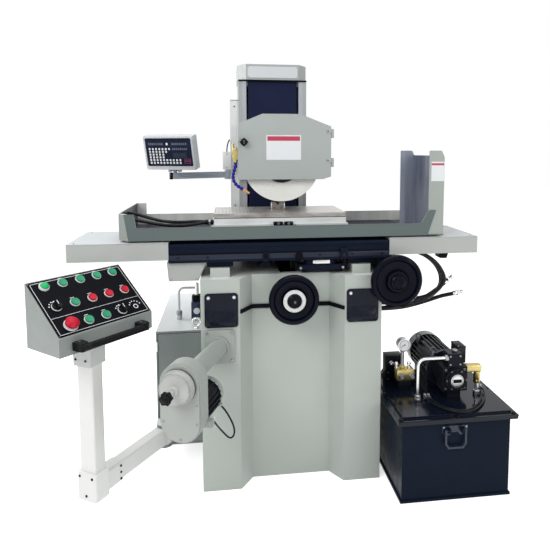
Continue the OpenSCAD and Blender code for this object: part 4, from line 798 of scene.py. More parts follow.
LEAD = [(58.45, -49.05, 14), (69.94, -58.69, 14), (88, -84, 15), (104, -112, 17), (116, -138, 24),
        (114, -155, 40), (106, -150, 58), (91, -104, 96), (85, -62, 134), (80, -26, 162), (80, -26, 175.7)]
CABLES = [[(0.3, 70, 88), (24, 67, 87), (66, 50, 77), (132, 32, 59), (186, 27, 51), (251, 28, 49),
           (306.4, 32, 51), (334.4, 34, 48), (354.4, 34, 48)],
          [(0.3, 0, 70), (24, -2, 69), (66, -13, 62), (139, -29, 50), (192, -32, 42), (250, -26, 40),
           (298.4, -10, 44), (332.4, 7, 48), (354.4, 8, 48)]]


def from_point(origin, points):
    return [tuple(o + c for o, c in zip(origin, p)) for p in points]


def bundle_route(step):
    """A hose of the bundle, a step to the front of the first one and higher where it leaves the base."""
    points = [(x, y - 0.8 * step, z + (step / 2 if z < BUNDLE_BEND else 0)) for x, y, z in BUNDLE]
    return from_point((BASE_RIGHT, BASE_FRONT, DECK), points)


def loose_fitting(number, route):
    """Open steel fitting with a threaded end."""
    place = aimed(Vector(route[-1]), Vector(route[-1]) - Vector(route[-2]))
    piece = Piece("loose_fitting_%d" % number)
    piece.add(turned([(0, -14), (10.6, -14), (11.2, -12), (11.2, 0.5), (0, 0.5)], 24), bright_steel, place)
    piece.add(hexagon(13, 17), bright_steel, place @ shift(0, 0, 0.4))
    thread = [(0, 17), (8.6, 17), (8.6, 18.5), (7.9, 19.2), (8.6, 20), (7.9, 21), (8.6, 22), (7.9, 23),
              (8.6, 24), (7.9, 25), (8.6, 26), (8.6, 33), (6.5, 34), (5, 34), (5, 24), (0, 24)]
    piece.add(turned(thread, 24), bright_steel, place)
    return piece.done("base", "ground_steel", "hydraulic_hoses")


def chuck_connector(number, end):
    """Sleeve, nut and plug where a cable meets the chuck."""
    place = shift(*end) @ turn(90, "Y")
    piece = Piece("chuck_connector_%d" % number)
    piece.add(turned([(7.1, -16), (8.2, -16), (9.4, -6), (9.4, 2), (7.1, 2)], 24, True), black_plastic, place)
    piece.add(hexagon(11, 8), screw_steel, place @ shift(0, 0, 2))
    plug = [(0, 10), (9.6, 10), (10, 11), (10, 22), (9, 24), (0, 24.2)]
    piece.add(turned(plug, 28), black_plastic, place)
    return piece.done("table", "black_plastic", "chuck_cable")


bundle_routes = [bundle_route(step) for step in BUNDLE_STEPS]
loose_routes = [from_point((BASE_RIGHT, BASE_FRONT, DECK), points) for points in LOOSE]

for number, route in enumerate(bundle_routes, 1):
    cord("bundle_hose_%d" % number, route, HOSE_RADIUS, "hydraulic_hoses",
         between=("base", "saddle", (0.60, -0.38, 0.80), (0.60, -0.38, 0.975)))
for number, route in enumerate(loose_routes, 1):
    fitting = loose_fitting(number, route)
    cord("loose_hose_%d" % number, route, HOSE_RADIUS, "hydraulic_hoses", "base", extra=[fitting])
for number, points in enumerate(RETURNS, 1):
    cord("return_hose_%d" % number, from_point((398, BASE_FRONT, LID_TOP), points), RETURN_RADIUS,
         "hydraulic_hoses", "base")


@rides("base", "scale_white")
def lead_connector(piece):
    sleeve = [(3.7, 150), (7, 150), (8.4, 152), (8.4, 168), (11, 170), (11, 175.4), (3.7, 175.4)]
    piece.add(turned(sleeve, 20, True), white_plastic, LIFT_MOTOR @ shift(80, -26, 0))


cord("motor_lead", [LIFT_MOTOR @ Vector(p) for p in LEAD], LEAD_RADIUS, "motor_cable", "base",
     extra=[lead_connector])
for number, points in enumerate(CABLES, 1):
    route = from_point((-706, -270, 1062), points)
    cord("chuck_lead_%d" % number, route, CABLE_RADIUS, "chuck_cable", "table",
         extra=[chuck_connector(number, route[-1])])


@rides("base", "ground_steel")
def hose_ports(piece):
    """Unions where the hoses leave the base."""
    sleeve = [(9.2, 12), (11.4, 12), (11.4, 24), (10.6, 26), (9.2, 26)]
    for _, y, z in [route[0] for route in bundle_routes + loose_routes]:
        port = shift(BASE_RIGHT, y, z) @ turn(90, "Y")
        piece.add(hexagon(12.5, 12), bright_steel, port @ shift(0, 0, 0.2))
        piece.add(turned(sleeve, 22, True), bright_steel, port)


# Column and head


@rides("base", "scale_white")
def cap_plate(piece):
    """Bare plate with a rim and four rivets."""
    place = front(COLUMN_X, 132, 1829)
    piece.add(plate(rounded(262, 62, 2), 0, 1.4), plate_cap, place)
    piece.add(plate(rounded(262, 62, 2), 1.2, 1.9, [rounded(257, 57, 1.5)]), screw_steel, place)
    for x in (-123, 123):
        for y in (-23, 23):
            rivet = turned([(0, 0), (2.8, 0), (2.6, 0.8), (1.6, 1.4), (0, 1.6)], 14)
            piece.add(rivet, screw_steel, place @ shift(x, y, 1.4))


# A black strip under the cap's front stands for the dark gap in the cap's shadow: painted shadow.
@rides("base", "rubber")
def cap_shadow_gap_strip(piece):
    piece.add(box((-204, 134.5, 1782), (148, 139.7, 1790)), seal_rubber)


@rides("base", "dark_steel")
def column_screws(piece):
    """Screws of the column's left side and of the scale cover, and a seam across that cover."""
    screws(piece, 4.5, 4, dark_steel, [shift(-203, 198, z) @ turn(-90, "Y") for z in (1640, 1400, 1160)])
    screws(piece, 4, 3.5, dark_steel, [front(-225, 150, z) for z in (1655, 1145)])
    piece.add(box((-246.5, 148.6, 1685), (-203.5, 150.2, 1688), 0.4), dark_steel)


@rides("guard_door", "scale_white")
def door_plate(piece):
    """Bare label with a band and a border."""
    place = front(-14, GUARD_FRONT, 1442)
    border = plate(rounded(152, 106, 1.5), 0.8, 1.05, [rounded(150.6, 104.6, 1.2)])
    piece.add(plate(rounded(156, 110, 2), 0, 0.9), plate_white, place)
    piece.add(plate(rounded(146, 20, 1), 0.6, 1.2), plate_band, place @ shift(0, 40, 0))
    piece.add(border, ground_steel, place)


@rides("guard_door", "machine_paint")
def door_trim(piece):
    for z in (1376, 1506):
        piece.add(box((178, -277.0, z), (202, -275.2, z + 19), 0.6), head_paint)
        piece.add(screw(3.2, 2.4), dark_steel, front(186, -276.8, z + 9))


@rides("door_knob", "black_plastic")
def knob_cap(piece):
    knob = front(-191, -301.5, 1466)
    piece.add(turned([(0, 0), (9.5, 0), (9.5, 0.9), (8.6, 1.5), (0, 1.7)], 24), black_plastic, knob)
    piece.add(box((-2, -8, 1.2), (2, 8, 2.1), 0.3), dark_steel, knob)


@rides("spindle", "dark_steel")
def flange_screws(piece):
    screws(piece, 5, 4, dark_steel, around(front(SPINDLE_X, -246, SPINDLE_Z), 70, 6, 30))
    piece.add(hexagon(26, 6), black_oxide, front(SPINDLE_X, -254, SPINDLE_Z))


COOLANT = [(0, 0, 0), (0, 0, -18), (-6, 0, -40), (-12, 0, -64), (-9, 0, -88), (4, 0, -108), (20, 0, -120),
           (36, 0, -130)]


def joint_radius(t):
    """Radius along one joint of the coolant hose: a ball, and then its narrow neck."""
    ball = 3.2 * math.sin(math.pi * min(1.0, 1.15 * t)) ** 0.6 if t < 0.87 else 0.0
    return 5.2 + ball


@rides("head", "blue_plastic", "coolant_hose")
def coolant_segments(piece):
    line = curve_through(from_point((VALVE_X, VALVE_Y, 1380), COOLANT), 2.4, 6)
    joints = 9
    ends = [int(k * (len(line) - 1) / joints) for k in range(joints + 1)]
    for start, end in zip(ends, ends[1:]):
        radii = [joint_radius(k / (end - start)) for k in range(end - start + 1)]
        piece.add(swept(line[start:end + 1], radii, 16), blue_plastic)
    union = [(0, 0), (9.4, 0), (10, 1), (10, 9), (8, 11), (0, 11)]
    piece.add(turned(union, 24), brass, shift(VALVE_X, VALVE_Y, 1376))
    nozzle = [(2.6, -4), (7.4, -4), (7.6, 0), (7.0, 4), (6.0, 12), (4.6, 29), (4.2, 30), (3.0, 30), (2.6, 24)]
    piece.add(turned(nozzle, 20, True), orange_plastic, aimed(line[-1], line[-1] - line[-4]))


@rides("head", "brass")
def valve_details(piece):
    piece.add(hexagon(12, 6), brass, shift(VALVE_X, VALVE_Y, 1425.6))
    piece.add(box((-242.0, -219, 1396), (-240.6, -201, 1424), 0.5), brass)
    piece.add(hexagon(9, 9), brass, front(-233, -223, 1402))


@rides("head", "scale_white")
def reader_details(piece):
    piece.add(box((-285, 98.8, 1338), (-245, 100.4, 1418), 0.5), white_plastic)
    screws(piece, 2.6, 2, dark_steel, [front(-265, 98.9, z) for z in (1344, 1412)])
    lead = [(-265, 118, 1423), (-265, 118, 1440), (-262, 126, 1462), (-256, 134, 1476), (-250, 138, 1484)]
    piece.add(swept(curve_through(lead), 3.2, 10), hose_rubber)


# Saddle and table


@rides("table", "dark_steel")
def work_block(piece):
    """A vee block on the chuck with its side strips and screws."""
    vee = [(-30, 0), (30, 0), (30, 36), (12, 36), (0, 22), (-12, 36), (-30, 36)]
    piece.add(plate(vee, -25, 25), block_steel, front(-27, -95, 1148))
    for x in (-60, 2.5):
        piece.add(box((x, -121.2, 1150), (x + 3.5, -119.6, 1182), 0.5), bright_steel)
    screws(piece, 4, 3, dark_steel, [front(x, -120, 1158) for x in (-44, -10)])


@rides("table", "rubber")
def gutter_mats(piece):
    """Ribbed mats in the trough on both sides of the chuck."""
    pitch = 12
    for left, right in ((-655, -345), (292, 590)):
        count = int((right - left) / pitch)
        ribs = [(0, 0)]
        for k in range(count):
            ribs += moved([(1, 3.2), (5, 3.2), (6, 1.8), (11, 1.8)], k * pitch, 0)
        ribs.append((count * pitch, 0))
        piece.add(plate(ribs, -50, 440), mat_rubber, front(left, 0, 1065.2))


@rides("table", "machine_paint")
def trough_hems(piece):
    """Rolled edges of the trough and of the splash guard."""
    rim = [(-679, 1170), (-641.5, 1170), (-634, 1118), (-630, 1114), (562, 1114), (567, 1117), (597, 1167),
           (602, 1170), (628, 1170)]
    left_end = [(-707.5, 62, 1170), (-707.5, -406, 1170), (-665, TROUGH_FRONT, 1170)]
    back = [(-705, 63.5, 1114), (664.5, 63.5, 1114), (664.5, -63, 1114)]
    splash_front = [(600, -450.2, 1427), (650.5, -450.2, 1427), (663.5, -450.2, 1402)]
    splash_back = [(594, -67.5, 1427), (650.5, -67.5, 1427)]
    for points, radius, material in (([(x, TROUGH_FRONT, z) for x, z in rim], 2.2, trough_paint),
                                     (left_end, 2.2, machine_paint), (back, 2.2, trough_paint),
                                     (splash_front, 1.9, splash_paint), (splash_back, 1.9, splash_paint)):
        piece.add(swept(points, radius, 10), material)


@rides("table", "scale_white")
def splash_plate(piece):
    """Bare label with a band."""
    place = front(636, -451.7, 1339)
    piece.add(plate(rounded(58, 84, 1.5), 0, 0.9), plate_white, place)
    piece.add(plate(rounded(56, 9, 0.8), 0.6, 1.2), plate_band, place @ shift(0, 31, 0))


@rides("table", "dark_steel")
def dog_details(piece):
    """Clamp screws and pads of the trip dogs, and the slot that they sit in."""
    for x in (-34, 18):
        piece.add(hexagon(6, 5), bright_steel, front(x - 4, -290, 1082))
        piece.add(box((x - 20, -292, 1071), (x + 20, -289.6, 1076), 0.8), black_plastic)
    piece.add(box((-334, -273.2, 1077), (280, -271.5, 1085), 0.4), dark_steel)
    for low, high in ((-62, -20), (-13, 26)):
        piece.add(box((low, -290, 1093.6), (high, -273.4, 1111), 2.5), black_plastic)
        piece.add(hexagon(6.5, 4), screw_steel, front((low + high) / 2, -289.8, 1102))


@rides("saddle", "navy_paint")
def saddle_front(piece):
    """Bands along the saddle's front, and the stops and knobs on them."""
    for face, low, high, bevel, material in ((-459.6, 1001.5, 1007.5, 0.6, panel_black),
                                             (-459.4, 979, 1001, 0.8, rail_paint),
                                             (-460.6, 1030, 1046, 1.2, navy_paint),
                                             (-460.0, 968.8, 978, 1.0, navy_paint)):
        piece.add(box((SADDLE_LEFT, face, low), (SADDLE_RIGHT, SADDLE_FRONT, high), bevel), material)
    screws(piece, 5, 3.5, black_oxide, [front(x, -459.2, 990) for x in (-470, -350, -120, 120, 260, 390)])
    piece.add(box((-128, -478, 944), (-92, -452, 966), 2.0), panel_black)
    piece.add(box((-122, -470, 958), (-98, -458.2, 1008), 2.0), navy_paint)
    piece.add(box((-118, -476, 984), (-102, -469, 1002), 1.5), panel_black)
    knob = [(0, 0), (15, 0), (16, 3), (16, 9), (13, 13), (0, 14)]
    piece.add(turned(knob, 24), panel_black, front(30, -458, 988))
    piece.add(box((206, -474, 972), (238, -458.2, 1018), 2.0), navy_paint)
    piece.add(drum(8, 0, 8, 20, inset=2), black_oxide, front(222, -474, 990))
    piece.add(box((218, -466, 940), (232, -452, 974), 1.5), panel_black)


@rides("saddle", "navy_paint")
def reversing_trim(piece):
    for x in (38, 220):
        piece.add(drum(6, 0, 6.5, 18, inset=1.5), screw_steel, front(x, -454, 933))
    piece.add(box((90, -455.4, 950), (164, -447, 965), 2.0), ground_steel)


@rides("base", "black_plastic")
def deck_plate(piece):
    place = shift(139, -360, DECK + 0.1)
    piece.add(plate(rounded(176, 112, 3), 0, 1.2), panel_black, place)
    piece.add(plate(rounded(176, 112, 3), 1.1, 1.6, [rounded(172, 108, 2)]), screw_steel, place)


@rides("saddle", "cover_paint")
def cover_details(piece):
    """Hems and screws of the sheet covers, a stop under the right one and the switch box's lid and glands."""
    top = 1055.2
    for low, high in ((-904.5, -507), (423, 820.5)):
        for foot, head in ((982.6, 985.2), (1052.0, 1055.0)):
            piece.add(box((low + 2, -463.4, foot), (high - 2, -461.6, head), 0.6), sheet_paint)
        for x in (low + 24, high - 24):
            screws(piece, 3.6, 2.4, screw_steel, [shift(x, y, top) for y in (-440, -136)])
    stop = [(650, 982.4), (692, 982.4), (685, 959), (657, 959)]
    piece.add(plate(stop, 0, 60), panel_black, front(0, -392, 0))
    lid = [(-512, 966), (-361, 966), (-391, 893), (-507, 893)]
    piece.add(plate(lid, 0, 1.4), sheet_paint, front(0, -442, 0))
    corners = ((-499, 899), (-399, 899), (-503, 959), (-373, 959))
    screws(piece, 3, 2, screw_steel, [front(x, -443.2, z) for x, z in corners])
    for x in (-470, -430):
        gland = turned([(0, 0), (11, 0), (12, 2), (12, 12), (9, 15), (0, 15)], 24)
        piece.add(gland, panel_black, shift(x, -330, 875))


# Handwheels


@rides("cross_handwheel", "scale_white")
def cross_wheel_ring(piece):
    """Scale ring and nut of the cross handwheel."""
    piece.add(ring(30.4, 46.6, 37.4, 39.2, 56), white_plastic, CROSS_WHEEL)
    graduations(piece, CROSS_WHEEL, count=50, step=7.2, r=46.2, sizes=(7.0, 4.0), half=0.35,
                low=39.0, high=39.45)
    piece.add(hexagon(13, 6), black_plastic, CROSS_WHEEL @ shift(0, 0, 49.6))
    piece.add(turned([(0, 55), (5, 55), (5, 57), (3.5, 58.4), (0, 58.6)], 18), dark_steel, CROSS_WHEEL)


@rides("table_handwheel", "wheel_black")
def table_wheel_hub(piece):
    hub = [(0, 49.6), (20, 49.6), (21, 51), (19, 54), (9, 55), (8, 52.5), (0, 52.5)]
    piece.add(ring(33.0, 43.4, 36.8, 38.6, 56), wheel_enamel, TABLE_WHEEL)
    piece.add(turned(hub, 32), wheel_enamel, TABLE_WHEEL)


def wheel_web(piece, wheel, hub, rim):
    """A raised ring round the hub and grip marks along the rim."""
    profile = [(hub + 4.2, 22.2), (hub + 7, 24.4), (hub + 11, 24.4), (hub + 13, 22.4)]
    piece.add(turned(profile, 64, True), wheel_enamel, wheel)
    for k in range(40):
        mark = box((rim - 6.4, -1.6, 31.0), (rim - 3.4, 1.6, 32.6), 0.6)
        piece.add(mark, wheel_enamel, wheel @ turn(9 * k, "Z"))


@rides("cross_handwheel", "wheel_black")
def cross_wheel_web(piece):
    wheel_web(piece, CROSS_WHEEL, hub=47, rim=104)


@rides("table_handwheel", "wheel_black")
def table_wheel_web(piece):
    wheel_web(piece, TABLE_WHEEL, hub=44, rim=110)


# Base front details


def flap():
    """Bulging lower half of a rubber flap."""
    across, up = 22, 16
    left, foot, width, height, depth = -64, -66, 128, 70, 15.0
    widest = 0.75
    shape = bmesh.new()
    rows = []
    for j in range(up + 1):
        fall = 1.0 - j / up
        if fall < widest:
            swell = (fall / widest) ** 2 * (3.0 - 2.0 * fall / widest)
        else:
            swell = math.sqrt(max(0.0, 1.0 - ((fall - widest) / (1.0 - widest)) ** 2))
        row = []
        for i in range(across + 1):
            bulge = 0.2 + depth * swell * math.sin(math.pi * i / across) ** 0.35
            row.append(shape.verts.new((left + width * i / across, foot + height * j / up, bulge)))
        rows.append(row)
    for a, b in zip(rows, rows[1:]):
        for i in range(across):
            shape.faces.new((a[i], a[i + 1], b[i + 1], b[i]))
    return shape


@rides("base", "rubber")
def flap_bulges(piece):
    for x in (-296, 296):
        place = front(x, -506, 777)
        piece.add(flap(), flap_rubber, place)
        piece.add(plate(rounded(134, 140, 13), 0, 0.8), flap_rubber, place)
        for side in (-52, 52):
            head = place @ shift(side, 54, 0.6)
            piece.add(ring(4.0, 7.6, 0, 1.2, 24), screw_steel, head)
            piece.add(turned([(0, 0), (4.2, 0), (4.2, 1.8), (3.2, 2.4), (0, 2.6)], 18), bright_steel, head)


@rides("base", "machine_paint")
def recess_seam(piece):
    for left, right in ((-165, -60), (60, 165)):
        piece.add(box((left, -421.6, 752), (right, -419.6, 757), 0.8), machine_paint)
    piece.add(ring(45.4, 52, 0, 6, 48, 1.2), machine_paint, front(0, -500.2, 818))


# Covers on the back and the right side


def bolted_cover(piece, material, place, w, h, across, up):
    """A sheet cover with a row of screws along its edges."""
    piece.add(plate(rounded(w, h, 12), 0, 2.6), material, place)
    for i in range(across):
        for j in range(up):
            if i in (0, across - 1) or j in (0, up - 1):
                at = shift((w - 28) * (i / (across - 1) - 0.5), (h - 28) * (j / (up - 1) - 0.5), 2.4)
                piece.add(screw(4.4, 3), screw_steel, place @ at)


def louvres(piece, material, place, count, w, pitch):
    """Pressed louvres, each with a dark slot under its lip."""
    for k in range(count):
        slot = place @ shift(0, pitch * (k - (count - 1) / 2), 2.4)
        piece.add(box((-w / 2, -5, 0), (w / 2, 0, 0.5), 0.2), panel_black, slot)
        piece.add(swept([(-w / 2, 1.5, 0), (w / 2, 1.5, 0)], 3.4, 12), material, slot)


def lifting_hole(piece, material, place):
    """The rim of a cast hole that takes a lifting bar, with its dark mouth."""
    piece.add(ring(27, 37, -1, 6, 44, 2.0), material, place)
    piece.add(turned([(0, 0.3), (27.4, 0.3), (27.4, 1.0), (0, 0.8)], 44), panel_black, place)


@rides("base", "machine_paint")
def column_back_cover(piece):
    place = rear(COLUMN_X, 460, 1330)
    bolted_cover(piece, column_paint, place, w=280, h=680, across=3, up=5)
    louvres(piece, column_paint, place @ shift(0, 220, 0), count=7, w=150, pitch=20)


@rides("base", "machine_paint")
def base_covers(piece):
    back = rear(0, BASE_BACK, 430)
    bolted_cover(piece, base_paint, back, w=460, h=340, across=4, up=3)
    bolted_cover(piece, base_paint, right_side(BASE_RIGHT, 120, 400), w=380, h=300, across=4, up=3)
    louvres(piece, base_paint, back, count=8, w=200, pitch=20)
    for x in (-270, 270):
        lifting_hole(piece, base_paint, rear(x, BASE_BACK, 700))
    for y in (380, -60):
        lifting_hole(piece, base_paint, right_side(BASE_RIGHT, y, 640))


# Elevating drive


@rides("base", "machine_paint")
def drive_screws(piece):
    screws(piece, 7, 6, screw_steel, [front(-305 + x, -510, 627 + z) for x in (-52, 52) for z in (-60, 60)])
    rim = ((-62, 0), (62, 0), (-62, -66), (62, -66), (-62, -132), (62, -132), (0, -194))
    screws(piece, 4.2, 3, screw_steel, [DRIVE @ shift(x, y, 396) for x, y in rim])
    piece.add(ring(36.2, 42, 0, 8, 40, 1.0), drive_paint, DRIVE @ shift(0, 0, 10.5))
    piece.add(ring(36.2, 44, 0, 10, 40, 1.2), drive_paint, DRIVE @ shift(0, 0, 315.8))


@rides("elevating_dial", "cover_paint")
def dial_details(piece):
    """Knurl, scales and collar of the elevating dial."""
    knurl = [polar(62.9 if k % 2 else 61.9, 3 * k) for k in range(120)]
    piece.add(plate(knurl, 398.2, 408.4, [circle(0, 0, 60.5, 60)]), dark_steel, DRIVE)
    piece.add(ring(51, 55.6, 438.0, 438.9, 56), cover_paint, DRIVE)
    graduations(piece, DRIVE, count=50, step=7.2, r=55.2, sizes=(4.6, 2.6), half=0.3, low=438.7, high=439.2)
    for k in range(100):
        low = 430 if k % 10 else 424
        piece.add(box((55.8, -0.25, low), (56.25, 0.25, 436), 0), panel_black, DRIVE @ turn(3.6 * k, "Z"))
    collar = [(7.2, 438.2), (18, 438.2), (18, 446), (15, 450), (7.2, 450)]
    piece.add(turned(collar, 32, True), cover_paint, DRIVE)
    cap = [(0, 508.2), (11, 508.2), (11, 509.6), (9, 511.2), (0, 511.6)]
    piece.add(turned(cap, 24), black_plastic, DRIVE)


@rides("base", "motor_paint")
def lift_motor_details(piece):
    piece.add(turned([(0, -1.6), (54, -1.6), (58, 0.2), (0, 0.2)], 40), drive_paint, LIFT_MOTOR)
    heads = around(LIFT_MOTOR @ shift(0, 0, -1.4), 44, 4, 45)
    screws(piece, 4, 3.2, screw_steel, [head @ turn(180, "X") for head in heads])
    gland = LIFT_MOTOR @ turn(-40, "Z") @ shift(65, 0, 14) @ turn(90, "Y")
    piece.add(hexagon(10.5, 8), screw_steel, gland)
    piece.add(box((-24, 52, 62), (24, 74, 122), 3.0), black_paint, LIFT_MOTOR)


# Cabinet


@rides("base", "cover_paint")
def cabinet_door(piece):
    """The door with its lock and hinges, and the screws and slots of the cabinet's left side."""
    door = front(-484, CABINET_FRONT, 364)
    # The door takes the cabinet's front colour, painted dark as painted shade.
    piece.add(plate(rounded(188, 504, 3), 0, 3.0), cabinet_paint, door)
    piece.add(plate(rounded(193, 509, 4), -0.2, 0.5, [rounded(188.4, 504.4, 3)]), panel_black, door)
    lock = [(0, 3), (14, 3), (14, 5), (12, 6.5), (5, 7), (4.4, 5.4), (0, 5.4)]
    piece.add(turned(lock, 28), bright_steel, front(-408, CABINET_FRONT, 420))
    for z in (180, 540):
        piece.add(swept([(-583, -290.4, z), (-583, -290.4, z + 44)], 4.4), ground_steel)
    sides = [shift(CABINET_LEFT, y, z) @ turn(-90, "Y") for y in (-40, 140, 300) for z in (140, 600)]
    screws(piece, 4, 3, bright_steel, sides)
    for k in range(9):
        piece.add(box((-589.6, 60, 250 + 22 * k), (-587.8, 260, 258 + 22 * k), 0.7), panel_black)


@rides("base", "ground_steel", "oil_fittings")
def lubricator(piece):
    """The oil cup with its lid and pipe."""
    cup, foot = shift(-416, -105, 0), shift(-500, -105, 0)
    piece.add(box((-442, -135, CABINET_TOP), (-390, -75, 716), 6.0, 3), oil_plastic)
    piece.add(drum(15, 0, 2.0, 28, inset=3, drop=0.6), plate_white, front(-416, -134.8, 672))
    lid = [(0, 715), (23, 715), (24, 718), (24, 738), (21, 743), (0, 744)]
    piece.add(turned(lid, 32), panel_black, cup)
    piece.add(drum(10, 742, 802, 24, inset=2), bright_steel, cup)
    line = [(-416, 778), (-440, 778), (-480, 778), (-494, 772), (-500, 758), (-500, 720), (-500, 668)]
    pipe = curve_through([(x, -105, z) for x, z in line], 5.0, 4)
    piece.add(swept(pipe, 6.0), white_plastic)
    piece.add(hexagon(14, 20), screw_steel, foot @ shift(0, 0, 648))
    piece.add(drum(14, CABINET_TOP, 648, 28), ground_steel, foot)


@rides("base", "ground_steel", "oil_fittings")
def lifting_eye_ring(piece):
    x, y = -410, -259
    piece.add(swept(upright_arc(x, y, 657, 18, 18, 40), 5.5, 16, True), bright_steel)
    stem = [(0, CABINET_TOP), (10, CABINET_TOP), (10, 632), (8, 634), (7, 641), (0, 641)]
    piece.add(turned(stem, 28), bright_steel, shift(x, y, 0))


# Pendant

STOP, SPEED, MODE, LAMP = (64, 40), (277, 40), (55, 124), (55, 216)
SPARE_SCALE = (339, 40)
PUSHES = [(135, 40), (206, 40)] + [(126 + 71 * k, v) for v in (124, 216) for k in range(4)]


def on_panel(spot, height=0):
    return PANEL @ shift(*spot, height)


def panel_outline(margin, corner):
    """Outline of the panel's face, less a margin all round."""
    outline = rounded(PANEL_WIDTH - margin, PANEL_SLOPE - margin, corner)
    return moved(outline, PANEL_WIDTH / 2, PANEL_SLOPE / 2)


@rides("pendant", "black_plastic")
def panel_plate(piece):
    """The panel's black face, its bare marks, and the white bezels of its buttons."""
    holes = [circle(u, v, 15.6) for u, v in PUSHES + [STOP, SPEED, MODE, LAMP]]
    face = moved(rounded(PANEL_WIDTH - 6, PANEL_SLOPE - 8, 5), PANEL_WIDTH / 2, PANEL_SLOPE / 2)
    piece.add(plate(face, 0, 1.4, holes), panel_black, PANEL)
    piece.add(plate(panel_outline(22, 6), 1.3, 1.75, [panel_outline(25, 5)]), key_white, PANEL)
    piece.add(box((13, 80.8, 1.2), (377, 82.2, 1.75), 0.2), key_white, PANEL)
    for spot in PUSHES + [MODE, SPEED]:
        piece.add(box((-8, 21.5, 1.2), (8, 23.6, 1.7), 0.2), key_white, on_panel(spot))
    for (u, v), first, last in ((MODE, 60, 190), (SPEED, 40, 170), (SPARE_SCALE, 20, 160)):
        for spot in [polar(25, angle) for angle in range(first, last, 26)]:
            dot = turned([(0, 1.3), (2.6, 1.3), (2.6, 1.7), (0, 1.75)], 14)
            piece.add(dot, key_white, on_panel((u + spot[0], v + spot[1])))
    piece.add(plate(circle(*SPARE_SCALE, 10), 1.3, 1.75, [circle(*SPARE_SCALE, 7)]), key_white, PANEL)
    push = [(15.3, 1.2), (18.0, 1.2), (18.2, 2.2), (17.6, 4.2), (16.4, 4.8), (15.3, 4.2)]
    selector = [(15.3, 1.2), (18.4, 1.2), (18.6, 2.4), (17.8, 4.0), (16.2, 4.4), (15.3, 3.8)]
    stop = [(15.4, 1.2), (25, 1.2), (25.4, 2.0), (24.0, 4.2), (18, 5.2), (15.4, 5.2)]
    lens = [(15.1, 1.2), (18.8, 1.2), (19, 2.2), (17.8, 7.4), (16.2, 9.0), (15.1, 8.4)]
    for spots, bezel, steps in ((PUSHES, push, 40), ([SPEED, MODE], selector, 40), ([STOP], stop, 44),
                                ([LAMP], lens, 40)):
        for spot in spots:
            piece.add(turned(bezel, steps, True), white_plastic, on_panel(spot))
    corners = [(u, v) for u in (7.5, PANEL_WIDTH - 7.5) for v in (9, PANEL_SLOPE - 9)]
    screws(piece, 2.6, 1.6, dark_steel, [on_panel(corner, 1.2) for corner in corners])


@rides("pendant", "green_plastic")
def pilot_lamp(piece):
    dome = [(0, 9.6), (14.4, 9.6), (14.4, 11), (13.0, 14.0), (9.6, 16.4), (5.0, 17.8), (0, 18.2)]
    piece.add(turned(dome, 36), lamp_green, on_panel(LAMP))


def selector_pointer(piece, spot):
    """White line and ribbed sides of a selector's knob."""
    piece.add(box((-1.3, -2, 21.8), (1.3, 14.4, 22.8), 0.3), key_white, on_panel(spot))
    for x in (-5.4, 4.6):
        piece.add(box((x, -15.4, 12.0), (x + 0.8, 15.4, 20.0), 0.3), black_plastic, on_panel(spot))


@rides("mode_selector", "black_plastic")
def mode_pointer(piece):
    selector_pointer(piece, MODE)


@rides("speed_selector", "black_plastic")
def speed_pointer(piece):
    selector_pointer(piece, SPEED)


def button_face(number, spot):
    """Slightly dished face of a push button, which rides on its button."""
    button = "push_button_%d" % number
    face = [(0, 9.3), (9, 9.2), (12.6, 9.5), (14.2, 9.9), (14.8, 9.4), (14.9, 8.4), (0, 8.4)]
    piece = Piece("button_face_%d" % number)
    piece.add(turned(face, 36), NODE_MATERIALS[button], on_panel(spot))
    piece.done(button, "red_plastic" if number in RED_BUTTONS else "green_plastic")


for number, spot in enumerate(PUSHES, 1):
    button_face(number, spot)


@rides("stop_button", "red_plastic")
def stop_dome(piece):
    dome = [(0, 28.4), (7, 28.0), (13, 26.6), (17.6, 24.6), (19.4, 22.8), (17, 22.6), (0, 22.6)]
    piece.add(turned(dome, 40), red_plastic, on_panel(STOP))


@rides("pendant", "black_plastic", "pendant_handle")
def pendant_grip(piece):
    """The bent handle with its two blocks."""
    level = 28.5
    bend = [(130, -128, 12.0), (128, -136, 12.6), (121, -140.5, 13), (112, -140.5, 13)]
    bar = [(-x, y, r) for x, y, r in bend] + bend[::-1]
    piece.add(swept([(x, y, level) for x, y, _ in bar], [r for _, _, r in bar], 10), black_plastic, PENDANT)
    for x in (-130, 130):
        block = plate([(-18, 0), (18, 0), (18, 30), (12, 46), (-12, 46), (-18, 30)], -14, 14)
        soften(block, [edge for edge in block.edges if edge.calc_face_angle(0.0) > 0.5], 2.5)
        piece.add(block, black_plastic, PENDANT @ shift(x, -94.6, level) @ turn(180, "X"))
        piece.add(screw(5, 3), dark_steel, PENDANT @ shift(x, -108, level + 13.4))


@rides("pendant", "cover_paint")
def pendant_fixings(piece):
    collar = shift(*POST, 652) @ turn(-32, "Z")
    screws(piece, 4.4, 2.6, black_oxide, [collar @ front(x, -42.0, z) for x in (-24, 24) for z in (24, 72)])
    piece.add(box((-193, 94.3, 4), (193, 96.8, 222), 1.2), pendant_paint, PENDANT)
    back = PENDANT @ shift(0, 96.6, 0)
    corners = [back @ shift(x, 0, z) @ turn(-90, "X") for x in (-180, 180) for z in (14, 212)]
    screws(piece, 3.6, 2.6, bright_steel, corners)
    piece.add(ring(22.3, 27, -1.6, 1.2, 36), hose_rubber, PENDANT @ shift(120, 0, -1.0))


@rides("pendant_arm", "white_paint")
def arm_fixings(piece):
    arm = shift(-554, -325, 178) @ turn(-32, "Z")
    for z in (-26, 0, 26):
        screws(piece, 4.6, 3, black_oxide, [arm @ shift(32 * side, -310, z) @ turn(90 * side, "Y")
                                            for side in (1, -1)])
    screws(piece, 4.6, 3, black_oxide, [arm @ front(x, -455, z) for x, z in ((-30, 50), (30, 50), (0, -22))])


# Readout


